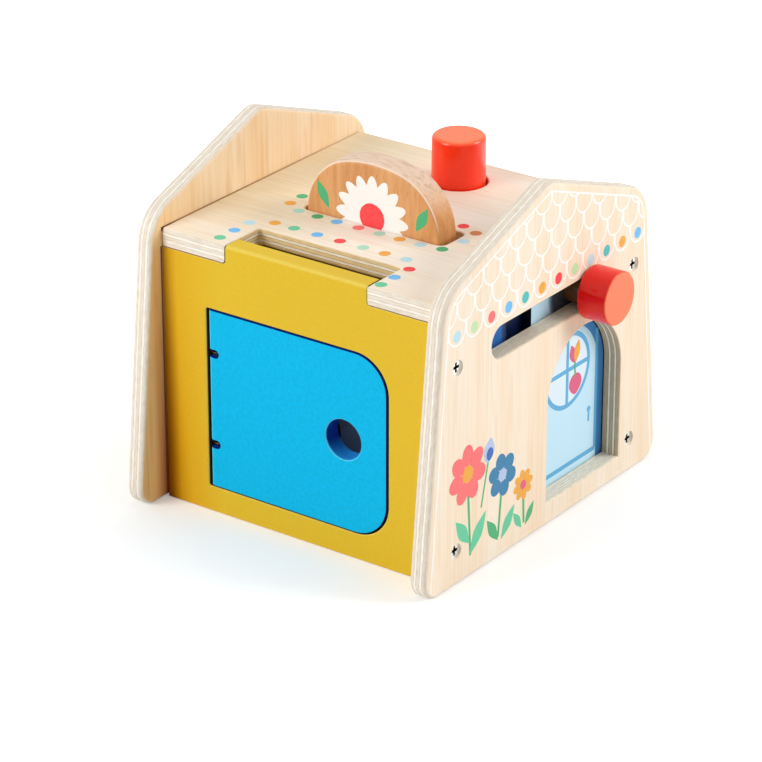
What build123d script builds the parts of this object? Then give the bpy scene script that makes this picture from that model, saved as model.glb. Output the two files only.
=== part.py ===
"""Wooden hide-and-seek house for small children.

Two gables of plywood hold a yellow box between them. The front has a hinged door with
a finger hole and a posting slot behind its raised tongue, the deck has a pop-up plaque
that a push peg lifts through a rocker, and the right gable has an arched window with a
sliding shutter behind it.

Millimetres, +Z up, the door faces -Y, and the gables stand at -X and +X. The origin is
on the floor, in the middle of the body.
"""
import os
from math import asin, cos, degrees

from build123d import *

os.makedirs("parts", exist_ok=True)

# House body
house_width = 160.0  # over the two gables
body_depth = 143.4  # front face of the front panel to rear face of the rear panel
gable_thickness = 8.5
panel_thickness = 9.0
deck_top = 127.5
deck_thickness = 8.5
base_thickness = 8.5

# Gable outline, with its corners sharp
gable_foot_overhang = 18.8  # past the body, front and rear, at the floor
gable_shoulder_overhang = 5.3
shoulder_above_deck = 6.0
peak_above_deck = 33.5
peak_radius = 12.0
shoulder_radius = 20.0
foot_radius = 9.0
gable_edge_round = 2.0
cut_edge_round = 0.8
deck_edge_round = 0.8
deck_corner_round = 1.5
deck_joint_gap = 0.35  # open joint along each gable, in the deck's upper face
deck_joint_depth = 2.0
panel_side_round = 1.0  # where the front panel meets the gables
panel_shoulder_round = 0.5

# Door and its opening
door_jamb_width = 23.4
door_sill_height = 11.8
door_lintel_height = 22.7
door_free_corner_radius = 17.0
door_hinge_corner_radius = 1.0
door_gap_hinge = 0.8
door_gap_free = 1.2
door_gap_level = 0.8
door_stop_gap = 0.3
door_edge_round = 0.8
door_hinge_round = 2.5
finger_hole_diameter = 18.4
finger_hole_from_free_edge = 22.2

# Door hinges: a steel rod in the door, held by two screw eyes in the jamb
hinge_rod_diameter = 2.4
hinge_rod_inset = 3.5  # from the door's top and bottom edges
hinge_axis_inset = 3.0  # from the door's hinge edge
hinge_axis_depth = 3.4  # behind the door's face
hinge_spacing = 43.0
hinge_running_gap = 0.05
eye_wire_diameter = 1.4
eye_shank_diameter = 1.8
eye_shank_in_jamb = 9.0
hinge_notch_height = 4.0
hinge_notch_margin = 0.3

# Strip behind the front panel that stops the door
stop_strip_length = 60.0
stop_strip_width = 8.0
stop_strip_thickness = 7.0
stop_strip_overlap = 2.2

# Posting slot and the front panel's raised tongue
tongue_width = 74.0
tongue_side_gap = 0.4
tongue_edge_round = 2.0
tongue_foot_round = 1.6
posting_slot_width = 15.7  # front to back
posting_slot_corner = 2.0
notch_lower_round = 2.0

# Picture board behind the door
divider_thickness = 6.0

# Pop-up plaque and its slot in the deck
plaque_width = 70.0
plaque_thickness = 13.5
plaque_above_deck = 28.8
plaque_face_depth = 53.8  # from the body's front face to the plaque's face
plaque_middle_x = 0.8
crown_radius = 60.0
crown_corner_radius = 27.5
plaque_edge_round = 1.8
plaque_foot_overhang = 7.0  # past each end of the slot
plaque_slot_gap_side = 2.1
plaque_slot_gap_front = 0.5
plaque_slot_gap_rear = 3.9
plaque_slot_corner = 3.5
plaque_guide_gap = 0.4
plaque_guide_thickness = 6.0
plaque_guide_height = 26.0
plaque_guide_overhang = 3.0  # past each end of the plaque's foot

# Push peg, its hole, its guide block and the collar that keeps it in
peg_diameter = 24.0
peg_above_deck = 21.8
peg_from_rear = 23.7  # axis to the body's rear face
peg_round = 2.0
peg_hole_gap = 1.1
peg_guide_gap = 0.3
peg_guide_wall = 9.8
peg_guide_thickness = 14.0
peg_stem_diameter = 12.0
peg_stem_below_collar = 6.0
collar_overhang = 2.0  # past the guide block's bore
collar_thickness = 5.0
collar_rest_gap = 0.3

# Rocker that turns a push on the peg into a lift of the plaque
pop_up_travel = 18.0
rocker_width = 24.0
rocker_thickness = 7.0
rocker_nose_radius = 6.0
rocker_hub_radius = 8.0
rocker_touch_gap = 0.3
rocker_axle_diameter = 5.0
rocker_running_gap = 0.05
bracket_thickness = 8.5
bracket_radius = 13.0
washer_diameter = 10.0
washer_thickness = 1.0
washer_side_gap = 0.2

# Side slot, arched window, shutter, knob and the picture behind them
side_slot_below_deck = 18.4  # from the deck's underside to the middle of the slot
window_width = 57.6
window_sill_height = 10.9
window_below_slot = 7.9
shutter_width = 62.0
shutter_overlap = 3.9  # past the window's rear side when it is shut
shutter_thickness = 4.0
shutter_side_gap = 0.7
shutter_end_gap = 0.3
knob_diameter = 24.0
knob_length = 14.4
knob_standoff = 1.1
knob_round = 0.8
knob_neck_diameter = 13.0
knob_neck_gap = 0.9  # above and below the neck in the slot
knob_end_gap = 4.5  # left at each end of the slot when the shutter stops
backing_thickness = 4.0

# Screws and dowels
screw_diameter = 3.5
screw_head_diameter = 7.0
screw_head_height = 2.2
screw_sunk = 1.1
recess_span = 0.64  # of the head's diameter, like the next
recess_width = 0.2
recess_depth = 0.5  # of the head's height
gable_screw_tip_cover = 1.6  # wood left between the screw's tip and the door opening
gable_screw_low = 16.2
gable_screw_below_deck = 18.6
bracket_screw_length = 25.0
bracket_screw_spacing = 13.0
knob_screw_length = 20.0
collar_screw_diameter = 2.5
collar_screw_head_diameter = 5.0
collar_screw_head_height = 1.5
collar_screw_length = 14.0
dowel_diameter = 5.0
dowel_in_blind = 5.5
dowel_in_edge = 12.0
base_dowel_y = 45.0

# Faces and levels worked out from the sizes above
outer_x = house_width / 2
inner_x = outer_x - gable_thickness
front_y = -body_depth / 2
rear_y = body_depth / 2
hinge_y = front_y + hinge_axis_depth
front_panel_back_y = front_y + panel_thickness
rear_panel_face_y = rear_y - panel_thickness
panel_middle_y = rear_y - panel_thickness / 2
deck_bottom = deck_top - deck_thickness
inside_height = deck_bottom - base_thickness
inside_depth = rear_panel_face_y - front_panel_back_y
door_opening_width = 2 * (inner_x - door_jamb_width)
door_opening_height = deck_bottom - door_lintel_height - door_sill_height
door_middle_z = door_sill_height + door_opening_height / 2
divider_face_y = front_panel_back_y + posting_slot_width
plaque_face_y = front_y + plaque_face_depth
plaque_back_y = plaque_face_y + plaque_thickness
plaque_middle_y = plaque_face_y + plaque_thickness / 2
plaque_slot_length = plaque_width + 2 * plaque_slot_gap_side
plaque_foot_width = plaque_slot_length + 2 * plaque_foot_overhang
plaque_top = deck_top + plaque_above_deck
peg_y = rear_y - peg_from_rear
guide_bore_radius = peg_diameter / 2 + peg_guide_gap
collar_radius = guide_bore_radius + collar_overhang
collar_screw_radius = (peg_stem_diameter + peg_diameter) / 4
guide_bottom = deck_bottom - peg_guide_thickness
collar_top = guide_bottom - collar_rest_gap
collar_bottom = collar_top - collar_thickness
stem_bottom = collar_bottom - peg_stem_below_collar
shutter_outer_x = inner_x - shutter_side_gap
shutter_inner_x = shutter_outer_x - shutter_thickness
backing_outer_x = shutter_inner_x - shutter_side_gap
backing_inner_x = backing_outer_x - backing_thickness
shutter_middle_y = rear_panel_face_y - shutter_end_gap - shutter_width / 2
shutter_travel = inside_depth - 2 * shutter_end_gap - shutter_width
knob_z = deck_bottom - side_slot_below_deck
side_slot_height = knob_neck_diameter + 2 * knob_neck_gap
side_slot_length = knob_neck_diameter + shutter_travel + 2 * knob_end_gap
window_arch_z = knob_z - side_slot_height / 2 - window_below_slot - window_width / 2
window_middle_y = shutter_middle_y + (shutter_width - window_width) / 2 - shutter_overlap
gable_screw_length = gable_thickness - screw_sunk + door_jamb_width - gable_screw_tip_cover
gable_screw_high = deck_bottom - gable_screw_below_deck
deck_dowel_x = (tongue_width / 2 + tongue_side_gap + inner_x) / 2
gable_screw_places = [
    (y, z) for y in (-panel_middle_y, panel_middle_y) for z in (gable_screw_low, gable_screw_high)
]

# The rocker at rest: its peg end is up by half the travel and its plaque end is down
rocker_y = (plaque_middle_y + peg_y) / 2
rocker_arm = (peg_y - plaque_middle_y) / 2
rocker_rise = pop_up_travel / 2
rocker_tilt = asin(rocker_rise / rocker_arm)
rocker_reach = rocker_arm * cos(rocker_tilt)
rocker_z = stem_bottom - rocker_touch_gap - rocker_nose_radius - rocker_rise
plaque_bottom = rocker_z - rocker_rise + rocker_nose_radius + rocker_touch_gap
foot_top = deck_bottom - pop_up_travel - rocker_touch_gap
bracket_inner_x = rocker_width / 2 + washer_thickness + 2 * washer_side_gap


def front_plane(y):
    """A plane that faces -Y, with its own x along X and its own y along Z."""
    return Plane(origin=(0, y, 0), x_dir=(1, 0, 0), z_dir=(0, -1, 0))


def front_edges(board):
    """The edges of a board's front face, as it is by now."""
    return board.faces().filter_by(Axis.Y).sort_by(Axis.Y)[0].edges()


def countersunk_screw(diameter, head_diameter, head_height, length):
    """A screw that hangs down from the origin, with a cross recess in its head."""
    span = head_diameter * recess_span
    width = head_diameter * recess_width
    with BuildPart() as screw:
        with BuildSketch(Plane.XZ):
            with BuildLine():
                Polyline(
                    (0, 0),
                    (head_diameter / 2, 0),
                    (diameter / 2, -head_height),
                    (diameter / 2, -length + diameter),
                    (0, -length),
                    close=True,
                )
            make_face()
        revolve(axis=Axis.Z)
        with BuildSketch():
            Rectangle(span, width)
            Rectangle(width, span)
        extrude(amount=-head_height * recess_depth, mode=Mode.SUBTRACT)
    return screw.part


def screw_hole(diameter, head_diameter, head_height, length):
    """The countersunk hole of such a screw, open above its head."""
    with BuildPart() as hole:
        with BuildSketch(Plane.XZ):
            with BuildLine():
                Polyline(
                    (0, screw_sunk),
                    (head_diameter / 2, screw_sunk),
                    (head_diameter / 2, 0),
                    (diameter / 2, -head_height),
                    (diameter / 2, -length),
                    (0, -length),
                    close=True,
                )
            make_face()
        revolve(axis=Axis.Z)
    return hole.part


wood_screw_head = (screw_diameter, screw_head_diameter, screw_head_height)
small_screw_head = (collar_screw_diameter, collar_screw_head_diameter, collar_screw_head_height)
gable_screw = countersunk_screw(*wood_screw_head, gable_screw_length)
gable_screw_hole = screw_hole(*wood_screw_head, gable_screw_length)
bracket_screw = countersunk_screw(*wood_screw_head, bracket_screw_length)
bracket_screw_hole = screw_hole(*wood_screw_head, bracket_screw_length)
shutter_screw = countersunk_screw(*wood_screw_head, knob_screw_length)
shutter_screw_hole = screw_hole(*wood_screw_head, knob_screw_length)
collar_screw = countersunk_screw(*small_screw_head, collar_screw_length)
collar_screw_hole = screw_hole(*small_screw_head, collar_screw_length)

# Where the gable screws sit, with their heads just under the face
right_screw_places = [Location((outer_x - screw_sunk, y, z), (0, 90, 0)) for y, z in gable_screw_places]
left_screw_places = [Location((screw_sunk - outer_x, y, z), (0, -90, 0)) for y, z in gable_screw_places]

# Where the bracket screws sit, heads down, in the base board's underside
bracket_middle_x = bracket_inner_x + bracket_thickness / 2
bracket_screw_places = [
    Location((side * bracket_middle_x, rocker_y + step, screw_sunk), (180, 0, 0))
    for side in (-1, 1)
    for step in (-bracket_screw_spacing / 2, bracket_screw_spacing / 2)
]
shutter_screw_place = Location((shutter_inner_x, shutter_middle_y, knob_z), (0, -90, 0))
collar_screw_places = [
    Location((side * collar_screw_radius, peg_y, collar_bottom), (180, 0, 0)) for side in (-1, 1)
]

# Dowels: upright ones from the panels into the deck, level ones from the base into the gables
dowel_length = dowel_in_blind + dowel_in_edge
dowel_shift = (dowel_in_blind - dowel_in_edge) / 2
deck_dowel_places = [
    Location((side * deck_dowel_x, end * panel_middle_y, deck_bottom + dowel_shift))
    for side in (-1, 1)
    for end in (-1, 1)
]
base_dowel_places = [
    Location((side * (inner_x + dowel_shift), end * base_dowel_y, base_thickness / 2), (0, 90, 0))
    for side in (-1, 1)
    for end in (-1, 1)
]


def gable_outline():
    """The pentagon of a gable, on a plane whose own x runs along Y and own y along Z."""
    foot_y = body_depth / 2 + gable_foot_overhang
    shoulder_y = body_depth / 2 + gable_shoulder_overhang
    shoulder_z = deck_top + shoulder_above_deck
    with BuildSketch() as outline:
        with BuildLine():
            Polyline(
                (-foot_y, 0),
                (-shoulder_y, shoulder_z),
                (0, deck_top + peak_above_deck),
                (shoulder_y, shoulder_z),
                (foot_y, 0),
                close=True,
            )
        make_face()
        fillet(outline.vertices().group_by(Axis.Y)[1], radius=shoulder_radius)
        fillet(outline.vertices().group_by(Axis.Y)[-1], radius=peak_radius)
        fillet(outline.vertices().group_by(Axis.Y)[0], radius=foot_radius)
    return outline.sketch


house_outline = gable_outline()

# Left gable
with BuildPart() as left_gable:
    with BuildSketch(Plane.YZ.offset(-outer_x)):
        add(house_outline)
    extrude(amount=gable_thickness)
    fillet(left_gable.faces().filter_by(Axis.X).edges(), radius=gable_edge_round)
    with Locations(*left_screw_places):
        add(gable_screw_hole, mode=Mode.SUBTRACT)
    with Locations(*base_dowel_places):
        Cylinder(dowel_diameter / 2, dowel_length, mode=Mode.SUBTRACT)
left_gable.part.label = "left_gable"
export_step(left_gable.part, "parts/left_gable.step")

# Right gable, with the slot for the knob and the arched window
with BuildPart() as right_gable:
    with BuildSketch(Plane.YZ.offset(inner_x)):
        add(house_outline)
    extrude(amount=gable_thickness)
    fillet(right_gable.faces().filter_by(Axis.X).edges(), radius=gable_edge_round)
    with BuildSketch(Plane.YZ.offset(inner_x)):
        with Locations((0, knob_z)):
            SlotOverall(side_slot_length, side_slot_height)
        with Locations((window_middle_y, window_arch_z)):
            Circle(window_width / 2)
            Rectangle(
                window_width, window_arch_z - window_sill_height, align=(Align.CENTER, Align.MAX)
            )
    extrude(amount=gable_thickness, mode=Mode.SUBTRACT)
    outer_face = right_gable.faces().sort_by(Axis.X)[-1]
    fillet([edge for wire in outer_face.inner_wires() for edge in wire.edges()], radius=cut_edge_round)
    with Locations(*right_screw_places):
        add(gable_screw_hole, mode=Mode.SUBTRACT)
    with Locations(*base_dowel_places):
        Cylinder(dowel_diameter / 2, dowel_length, mode=Mode.SUBTRACT)
right_gable.part.label = "right_gable"
export_step(right_gable.part, "parts/right_gable.step")

# Front panel: shoulders under the deck, a tongue up through it, and the door opening
with BuildPart() as front_panel:
    with BuildSketch(front_plane(front_panel_back_y)):
        Rectangle(2 * inner_x, deck_bottom, align=(Align.CENTER, Align.MIN))
        Rectangle(tongue_width, deck_top, align=(Align.CENTER, Align.MIN))
    extrude(amount=panel_thickness)
    level_edges = front_panel.edges().filter_by(Axis.Y)
    tongue_foot = level_edges.filter_by(
        lambda edge: abs(edge.center().X) < inner_x - 1 and abs(edge.center().Z - deck_bottom) < 1
    )
    fillet(tongue_foot, radius=tongue_foot_round)
    fillet(front_edges(front_panel).filter_by(Axis.X).group_by(Axis.Z)[-1], radius=tongue_edge_round)
    side_edges = front_edges(front_panel).filter_by(Axis.Z)
    side_edges = side_edges.filter_by(lambda edge: abs(edge.center().X) > inner_x - 1)
    fillet(side_edges, radius=panel_side_round)
    shoulder_edges = front_edges(front_panel).filter_by(Axis.X).group_by(Axis.Z)[1]
    fillet(shoulder_edges, radius=panel_shoulder_round)
    with BuildSketch(front_plane(front_panel_back_y)) as door_opening:
        with Locations((0, door_middle_z)):
            Rectangle(door_opening_width, door_opening_height)
        fillet(door_opening.vertices().group_by(Axis.X)[-1], radius=door_free_corner_radius)
        fillet(door_opening.vertices().group_by(Axis.X)[0], radius=door_hinge_corner_radius)
    extrude(amount=panel_thickness, mode=Mode.SUBTRACT)
    front_face = front_panel.faces().filter_by(Axis.Y).sort_by(Axis.Y)[0]
    fillet([edge for wire in front_face.inner_wires() for edge in wire.edges()], radius=door_edge_round)
    with Locations(*right_screw_places, *left_screw_places):
        add(gable_screw_hole, mode=Mode.SUBTRACT)
    with Locations(*deck_dowel_places):
        Cylinder(dowel_diameter / 2, dowel_length, mode=Mode.SUBTRACT)
    for step in (-1, 1):
        eye_z = door_middle_z + step * hinge_spacing / 2
        with Locations(Location((-door_opening_width / 2, hinge_y, eye_z), (0, -90, 0))):
            Cylinder(
                eye_shank_diameter / 2,
                eye_shank_in_jamb,
                align=(Align.CENTER, Align.CENTER, Align.MIN),
                mode=Mode.SUBTRACT,
            )
front_panel.part.label = "front_panel"
export_step(front_panel.part, "parts/front_panel.step")

# Rear panel
with BuildPart() as rear_panel:
    with BuildSketch(front_plane(rear_y)):
        Rectangle(2 * inner_x, deck_bottom, align=(Align.CENTER, Align.MIN))
    extrude(amount=panel_thickness)
    with Locations(*right_screw_places, *left_screw_places):
        add(gable_screw_hole, mode=Mode.SUBTRACT)
    with Locations(*deck_dowel_places):
        Cylinder(dowel_diameter / 2, dowel_length, mode=Mode.SUBTRACT)
rear_panel.part.label = "rear_panel"
export_step(rear_panel.part, "parts/rear_panel.step")

# Deck, with the notch for the tongue and posting slot, the plaque's slot and the peg's hole
notch_depth = divider_face_y - front_y
plaque_slot_front_y = plaque_face_y - plaque_slot_gap_front
plaque_slot_width = plaque_slot_gap_front + plaque_thickness + plaque_slot_gap_rear
with BuildPart() as deck:
    with BuildSketch(Plane.XY.offset(deck_bottom)):
        RectangleRounded(2 * inner_x, body_depth, deck_corner_round)
    extrude(amount=deck_thickness)
    with BuildSketch(Plane.XY.offset(deck_top)):
        Rectangle(2 * inner_x, body_depth)
        RectangleRounded(
            2 * (inner_x - deck_joint_gap), body_depth, deck_corner_round, mode=Mode.SUBTRACT
        )
    extrude(amount=-deck_joint_depth, mode=Mode.SUBTRACT)
    with BuildSketch(Plane.XY.offset(deck_bottom)) as notch:
        with Locations((0, front_y)):
            Rectangle(
                tongue_width + 2 * tongue_side_gap, notch_depth, align=(Align.CENTER, Align.MIN)
            )
        fillet(notch.vertices().group_by(Axis.Y)[-1], radius=posting_slot_corner)
    extrude(amount=deck_thickness, mode=Mode.SUBTRACT)
    notch_edges = deck.faces().filter_by(Axis.Z).sort_by(Axis.Z)[0].edges().filter_by(Axis.Y)
    fillet(notch_edges.filter_by(lambda edge: abs(edge.center().X) < inner_x - 1), radius=notch_lower_round)
    with BuildSketch(Plane.XY.offset(deck_bottom)):
        with Locations((plaque_middle_x, plaque_slot_front_y + plaque_slot_width / 2)):
            RectangleRounded(plaque_slot_length, plaque_slot_width, plaque_slot_corner)
        with Locations((0, peg_y)):
            Circle(peg_diameter / 2 + peg_hole_gap)
    extrude(amount=deck_thickness, mode=Mode.SUBTRACT)
    deck_face = deck.faces().filter_by(Axis.Z).sort_by(Axis.Z)[-1]
    fillet(deck_face.edges(), radius=deck_edge_round)
    with Locations(*deck_dowel_places):
        Cylinder(dowel_diameter / 2, dowel_length, mode=Mode.SUBTRACT)
deck.part.label = "deck"
export_step(deck.part, "parts/deck.step")

# Base board
with BuildPart() as base_board:
    with BuildSketch():
        Rectangle(2 * inner_x, inside_depth)
    extrude(amount=base_thickness)
    with Locations(*bracket_screw_places):
        add(bracket_screw_hole, mode=Mode.SUBTRACT)
    with Locations(*base_dowel_places):
        Cylinder(dowel_diameter / 2, dowel_length, mode=Mode.SUBTRACT)
base_board.part.label = "base_board"
export_step(base_board.part, "parts/base_board.step")

# Picture board behind the door, flush with the posting slot's rear wall
with BuildPart() as divider:
    with BuildSketch(front_plane(divider_face_y + divider_thickness)):
        with Locations(((backing_inner_x - inner_x) / 2, base_thickness)):
            Rectangle(inner_x + backing_inner_x, inside_height, align=(Align.CENTER, Align.MIN))
    extrude(amount=divider_thickness)
divider.part.label = "divider"
export_step(divider.part, "parts/divider.step")

# Picture board behind the shutter
with BuildPart() as window_backing:
    with BuildSketch(Plane.YZ.offset(backing_inner_x)):
        with Locations((0, base_thickness)):
            Rectangle(inside_depth, inside_height, align=(Align.CENTER, Align.MIN))
    extrude(amount=backing_thickness)
window_backing.part.label = "window_backing"
export_step(window_backing.part, "parts/window_backing.step")

# Strip that stops the door
with BuildPart() as door_stop:
    with BuildSketch(front_plane(front_panel_back_y + stop_strip_thickness)):
        with Locations((door_opening_width / 2 - stop_strip_overlap, door_middle_z)):
            Rectangle(stop_strip_width, stop_strip_length, align=(Align.MIN, Align.CENTER))
    extrude(amount=stop_strip_thickness)
door_stop.part.label = "door_stop"
export_step(door_stop.part, "parts/door_stop.step")

# Gable screws
with BuildPart() as right_gable_screws:
    with Locations(*right_screw_places):
        add(gable_screw)
right_gable_screws.part.label = "right_gable_screws"
export_step(right_gable_screws.part, "parts/right_gable_screws.step")

with BuildPart() as left_gable_screws:
    with Locations(*left_screw_places):
        add(gable_screw)
left_gable_screws.part.label = "left_gable_screws"
export_step(left_gable_screws.part, "parts/left_gable_screws.step")

# Dowels
with BuildPart() as deck_dowels:
    with Locations(*deck_dowel_places):
        Cylinder(dowel_diameter / 2, dowel_length)
deck_dowels.part.label = "deck_dowels"
export_step(deck_dowels.part, "parts/deck_dowels.step")

with BuildPart() as base_dowels:
    with Locations(*base_dowel_places):
        Cylinder(dowel_diameter / 2, dowel_length)
base_dowels.part.label = "base_dowels"
export_step(base_dowels.part, "parts/base_dowels.step")

# Door leaf: rounded free corners, a finger hole, two notches for the eyes and the rod's bore
door_left = -door_opening_width / 2 + door_gap_hinge
door_right = door_opening_width / 2 - door_gap_free
door_width = door_right - door_left
door_height = door_opening_height - 2 * door_gap_level
door_thickness = panel_thickness - door_stop_gap
hinge_x = door_left + hinge_axis_inset
eye_bore_radius = hinge_rod_diameter / 2 + hinge_running_gap
eye_ring_radius = eye_bore_radius + eye_wire_diameter / 2
eye_outer_radius = eye_bore_radius + eye_wire_diameter
hinge_notch_depth = hinge_axis_inset + eye_outer_radius + hinge_notch_margin
hinge_rod_length = door_height - 2 * hinge_rod_inset
rod_bottom = door_middle_z - hinge_rod_length / 2
with BuildPart() as door_leaf:
    with BuildSketch(front_plane(front_y + door_thickness)) as door_outline:
        with Locations(((door_left + door_right) / 2, door_middle_z)):
            Rectangle(door_width, door_height)
        free_corners = door_outline.vertices().group_by(Axis.X)[-1]
        fillet(free_corners, radius=door_free_corner_radius - door_gap_level)
    extrude(amount=door_thickness)
    hinge_arris = door_leaf.edges().filter_by(Axis.Z).group_by(Axis.Y)[0].sort_by(Axis.X)[0]
    fillet(hinge_arris, radius=door_hinge_round)
    with BuildSketch(front_plane(front_y + door_thickness)):
        with Locations((door_right - finger_hole_from_free_edge, door_middle_z)):
            Circle(finger_hole_diameter / 2)
    extrude(amount=door_thickness, mode=Mode.SUBTRACT)
    door_face = door_leaf.faces().filter_by(Axis.Y).sort_by(Axis.Y)[0]
    fillet([edge for wire in door_face.inner_wires() for edge in wire.edges()], radius=door_edge_round)
    with BuildSketch(front_plane(front_y + door_thickness)):
        for step in (-1, 1):
            with Locations((door_left, door_middle_z + step * hinge_spacing / 2)):
                SlotOverall(2 * hinge_notch_depth, hinge_notch_height)
    extrude(amount=door_thickness, mode=Mode.SUBTRACT)
    with BuildSketch(Plane.XY.offset(rod_bottom + hinge_rod_length)):
        with Locations((hinge_x, hinge_y)):
            Circle(hinge_rod_diameter / 2)
    extrude(amount=-hinge_rod_length - door_height, mode=Mode.SUBTRACT)
door_leaf.part.label = "door_leaf"
export_step(door_leaf.part, "parts/door_leaf.step")

with BuildPart() as hinge_rod:
    with BuildSketch(Plane.XY.offset(rod_bottom)):
        with Locations((hinge_x, hinge_y)):
            Circle(hinge_rod_diameter / 2)
    extrude(amount=hinge_rod_length)
hinge_rod.part.label = "hinge_rod"
export_step(hinge_rod.part, "parts/hinge_rod.step")

# Screw eyes: a ring round the rod and a shank in the jamb
eye_shank_length = eye_shank_in_jamb + door_gap_hinge + hinge_axis_inset - eye_ring_radius
with BuildPart() as hinge_eyes:
    for step in (-1, 1):
        eye_z = door_middle_z + step * hinge_spacing / 2
        with Locations((hinge_x, hinge_y, eye_z)):
            Torus(eye_ring_radius, eye_wire_diameter / 2)
        with Locations(Location((hinge_x - eye_ring_radius, hinge_y, eye_z), (0, -90, 0))):
            Cylinder(
                eye_shank_diameter / 2,
                eye_shank_length,
                align=(Align.CENTER, Align.CENTER, Align.MIN),
            )
    with BuildSketch():
        with Locations((hinge_x, hinge_y)):
            Circle(eye_bore_radius)
    extrude(amount=deck_bottom, mode=Mode.SUBTRACT)
hinge_eyes.part.label = "hinge_eyes"
export_step(hinge_eyes.part, "parts/hinge_eyes.step")

# Pop-up plaque: a crowned board with a foot wider than its slot
foot_height = foot_top - plaque_bottom
with BuildPart() as plaque:
    with BuildSketch(front_plane(plaque_back_y)) as plaque_outline:
        with Locations((plaque_middle_x, plaque_bottom)):
            Rectangle(plaque_width, plaque_top - plaque_bottom, align=(Align.CENTER, Align.MIN))
        with Locations((plaque_middle_x, plaque_top - crown_radius)):
            Circle(crown_radius, mode=Mode.INTERSECT)
        crown_corners = plaque_outline.vertices().group_by(Axis.Y)[-1]
        fillet(crown_corners, radius=crown_corner_radius)
        with Locations((plaque_middle_x, plaque_bottom)):
            Rectangle(plaque_foot_width, foot_height, align=(Align.CENTER, Align.MIN))
    extrude(amount=plaque_thickness)
    arrises = plaque.faces().filter_by(Axis.Y).edges()
    fillet(arrises.filter_by(lambda edge: edge.center().Z > foot_top), radius=plaque_edge_round)
plaque.part.label = "plaque"
export_step(plaque.part, "parts/plaque.step")

# Strips under the deck that keep the plaque upright
plaque_guide_length = plaque_foot_width + 2 * plaque_guide_overhang
plaque_guide_distance = (plaque_thickness + plaque_guide_thickness) / 2 + plaque_guide_gap
for side, name in ((-1, "front_plaque_guide"), (1, "rear_plaque_guide")):
    with BuildPart() as plaque_guide:
        with BuildSketch(Plane.XY.offset(deck_bottom - plaque_guide_height)):
            with Locations((plaque_middle_x, plaque_middle_y + side * plaque_guide_distance)):
                Rectangle(plaque_guide_length, plaque_guide_thickness)
        extrude(amount=plaque_guide_height)
    plaque_guide.part.label = name
    export_step(plaque_guide.part, f"parts/{name}.step")

# Push peg, with the stem that stands on the rocker
with BuildPart() as push_peg:
    with BuildSketch(Plane.XY.offset(collar_top)):
        with Locations((0, peg_y)):
            Circle(peg_diameter / 2)
    extrude(amount=deck_top + peg_above_deck - collar_top)
    fillet(push_peg.edges().filter_by(GeomType.CIRCLE).sort_by(Axis.Z)[-1], radius=peg_round)
    with BuildSketch(Plane.XY.offset(stem_bottom)):
        with Locations((0, peg_y)):
            Circle(peg_stem_diameter / 2)
    extrude(amount=collar_top - stem_bottom)
    with Locations(*collar_screw_places):
        add(collar_screw_hole, mode=Mode.SUBTRACT)
push_peg.part.label = "push_peg"
export_step(push_peg.part, "parts/push_peg.step")

with BuildPart() as peg_collar:
    with BuildSketch(Plane.XY.offset(collar_bottom)):
        with Locations((0, peg_y)):
            Circle(collar_radius)
            Circle(peg_stem_diameter / 2, mode=Mode.SUBTRACT)
    extrude(amount=collar_thickness)
    with Locations(*collar_screw_places):
        add(collar_screw_hole, mode=Mode.SUBTRACT)
peg_collar.part.label = "peg_collar"
export_step(peg_collar.part, "parts/peg_collar.step")

with BuildPart() as collar_screws:
    with Locations(*collar_screw_places):
        add(collar_screw)
collar_screws.part.label = "collar_screws"
export_step(collar_screws.part, "parts/collar_screws.step")

with BuildPart() as peg_guide:
    with BuildSketch(Plane.XY.offset(guide_bottom)):
        with Locations((0, peg_y)):
            Rectangle(2 * (guide_bore_radius + peg_guide_wall), 2 * (rear_panel_face_y - peg_y))
            Circle(guide_bore_radius, mode=Mode.SUBTRACT)
    extrude(amount=peg_guide_thickness)
peg_guide.part.label = "peg_guide"
export_step(peg_guide.part, "parts/peg_guide.step")

# Rocker at rest, tilted down towards the plaque
rocker_ends = [
    (rocker_y + side * rocker_reach, rocker_z + side * rocker_rise) for side in (-1, 1)
]
with BuildPart() as rocker:
    with BuildSketch(Plane.YZ.offset(-rocker_width / 2)):
        with Locations(Location((rocker_y, rocker_z), degrees(rocker_tilt))):
            Rectangle(2 * rocker_arm, rocker_thickness)
        with Locations((rocker_y, rocker_z)):
            Circle(rocker_hub_radius)
        with Locations(*rocker_ends):
            Circle(rocker_nose_radius)
        with Locations((rocker_y, rocker_z)):
            Circle(rocker_axle_diameter / 2 + rocker_running_gap, mode=Mode.SUBTRACT)
    extrude(amount=rocker_width)
rocker.part.label = "rocker"
export_step(rocker.part, "parts/rocker.step")

# Brackets, axle and washers that carry the rocker
bracket_outer_x = bracket_inner_x + bracket_thickness
for side, name in ((-1, "left_rocker_bracket"), (1, "right_rocker_bracket")):
    with BuildPart() as bracket:
        with BuildSketch(Plane.YZ.offset(side * bracket_middle_x - bracket_thickness / 2)):
            with Locations((rocker_y, base_thickness)):
                Rectangle(2 * bracket_radius, rocker_z - base_thickness, align=(Align.CENTER, Align.MIN))
            with Locations((rocker_y, rocker_z)):
                Circle(bracket_radius)
                Circle(rocker_axle_diameter / 2, mode=Mode.SUBTRACT)
        extrude(amount=bracket_thickness)
        with Locations(*bracket_screw_places):
            add(bracket_screw_hole, mode=Mode.SUBTRACT)
    bracket.part.label = name
    export_step(bracket.part, f"parts/{name}.step")

with BuildPart() as rocker_axle:
    with BuildSketch(Plane.YZ.offset(-bracket_outer_x)):
        with Locations((rocker_y, rocker_z)):
            Circle(rocker_axle_diameter / 2)
    extrude(amount=2 * bracket_outer_x)
rocker_axle.part.label = "rocker_axle"
export_step(rocker_axle.part, "parts/rocker_axle.step")

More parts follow.
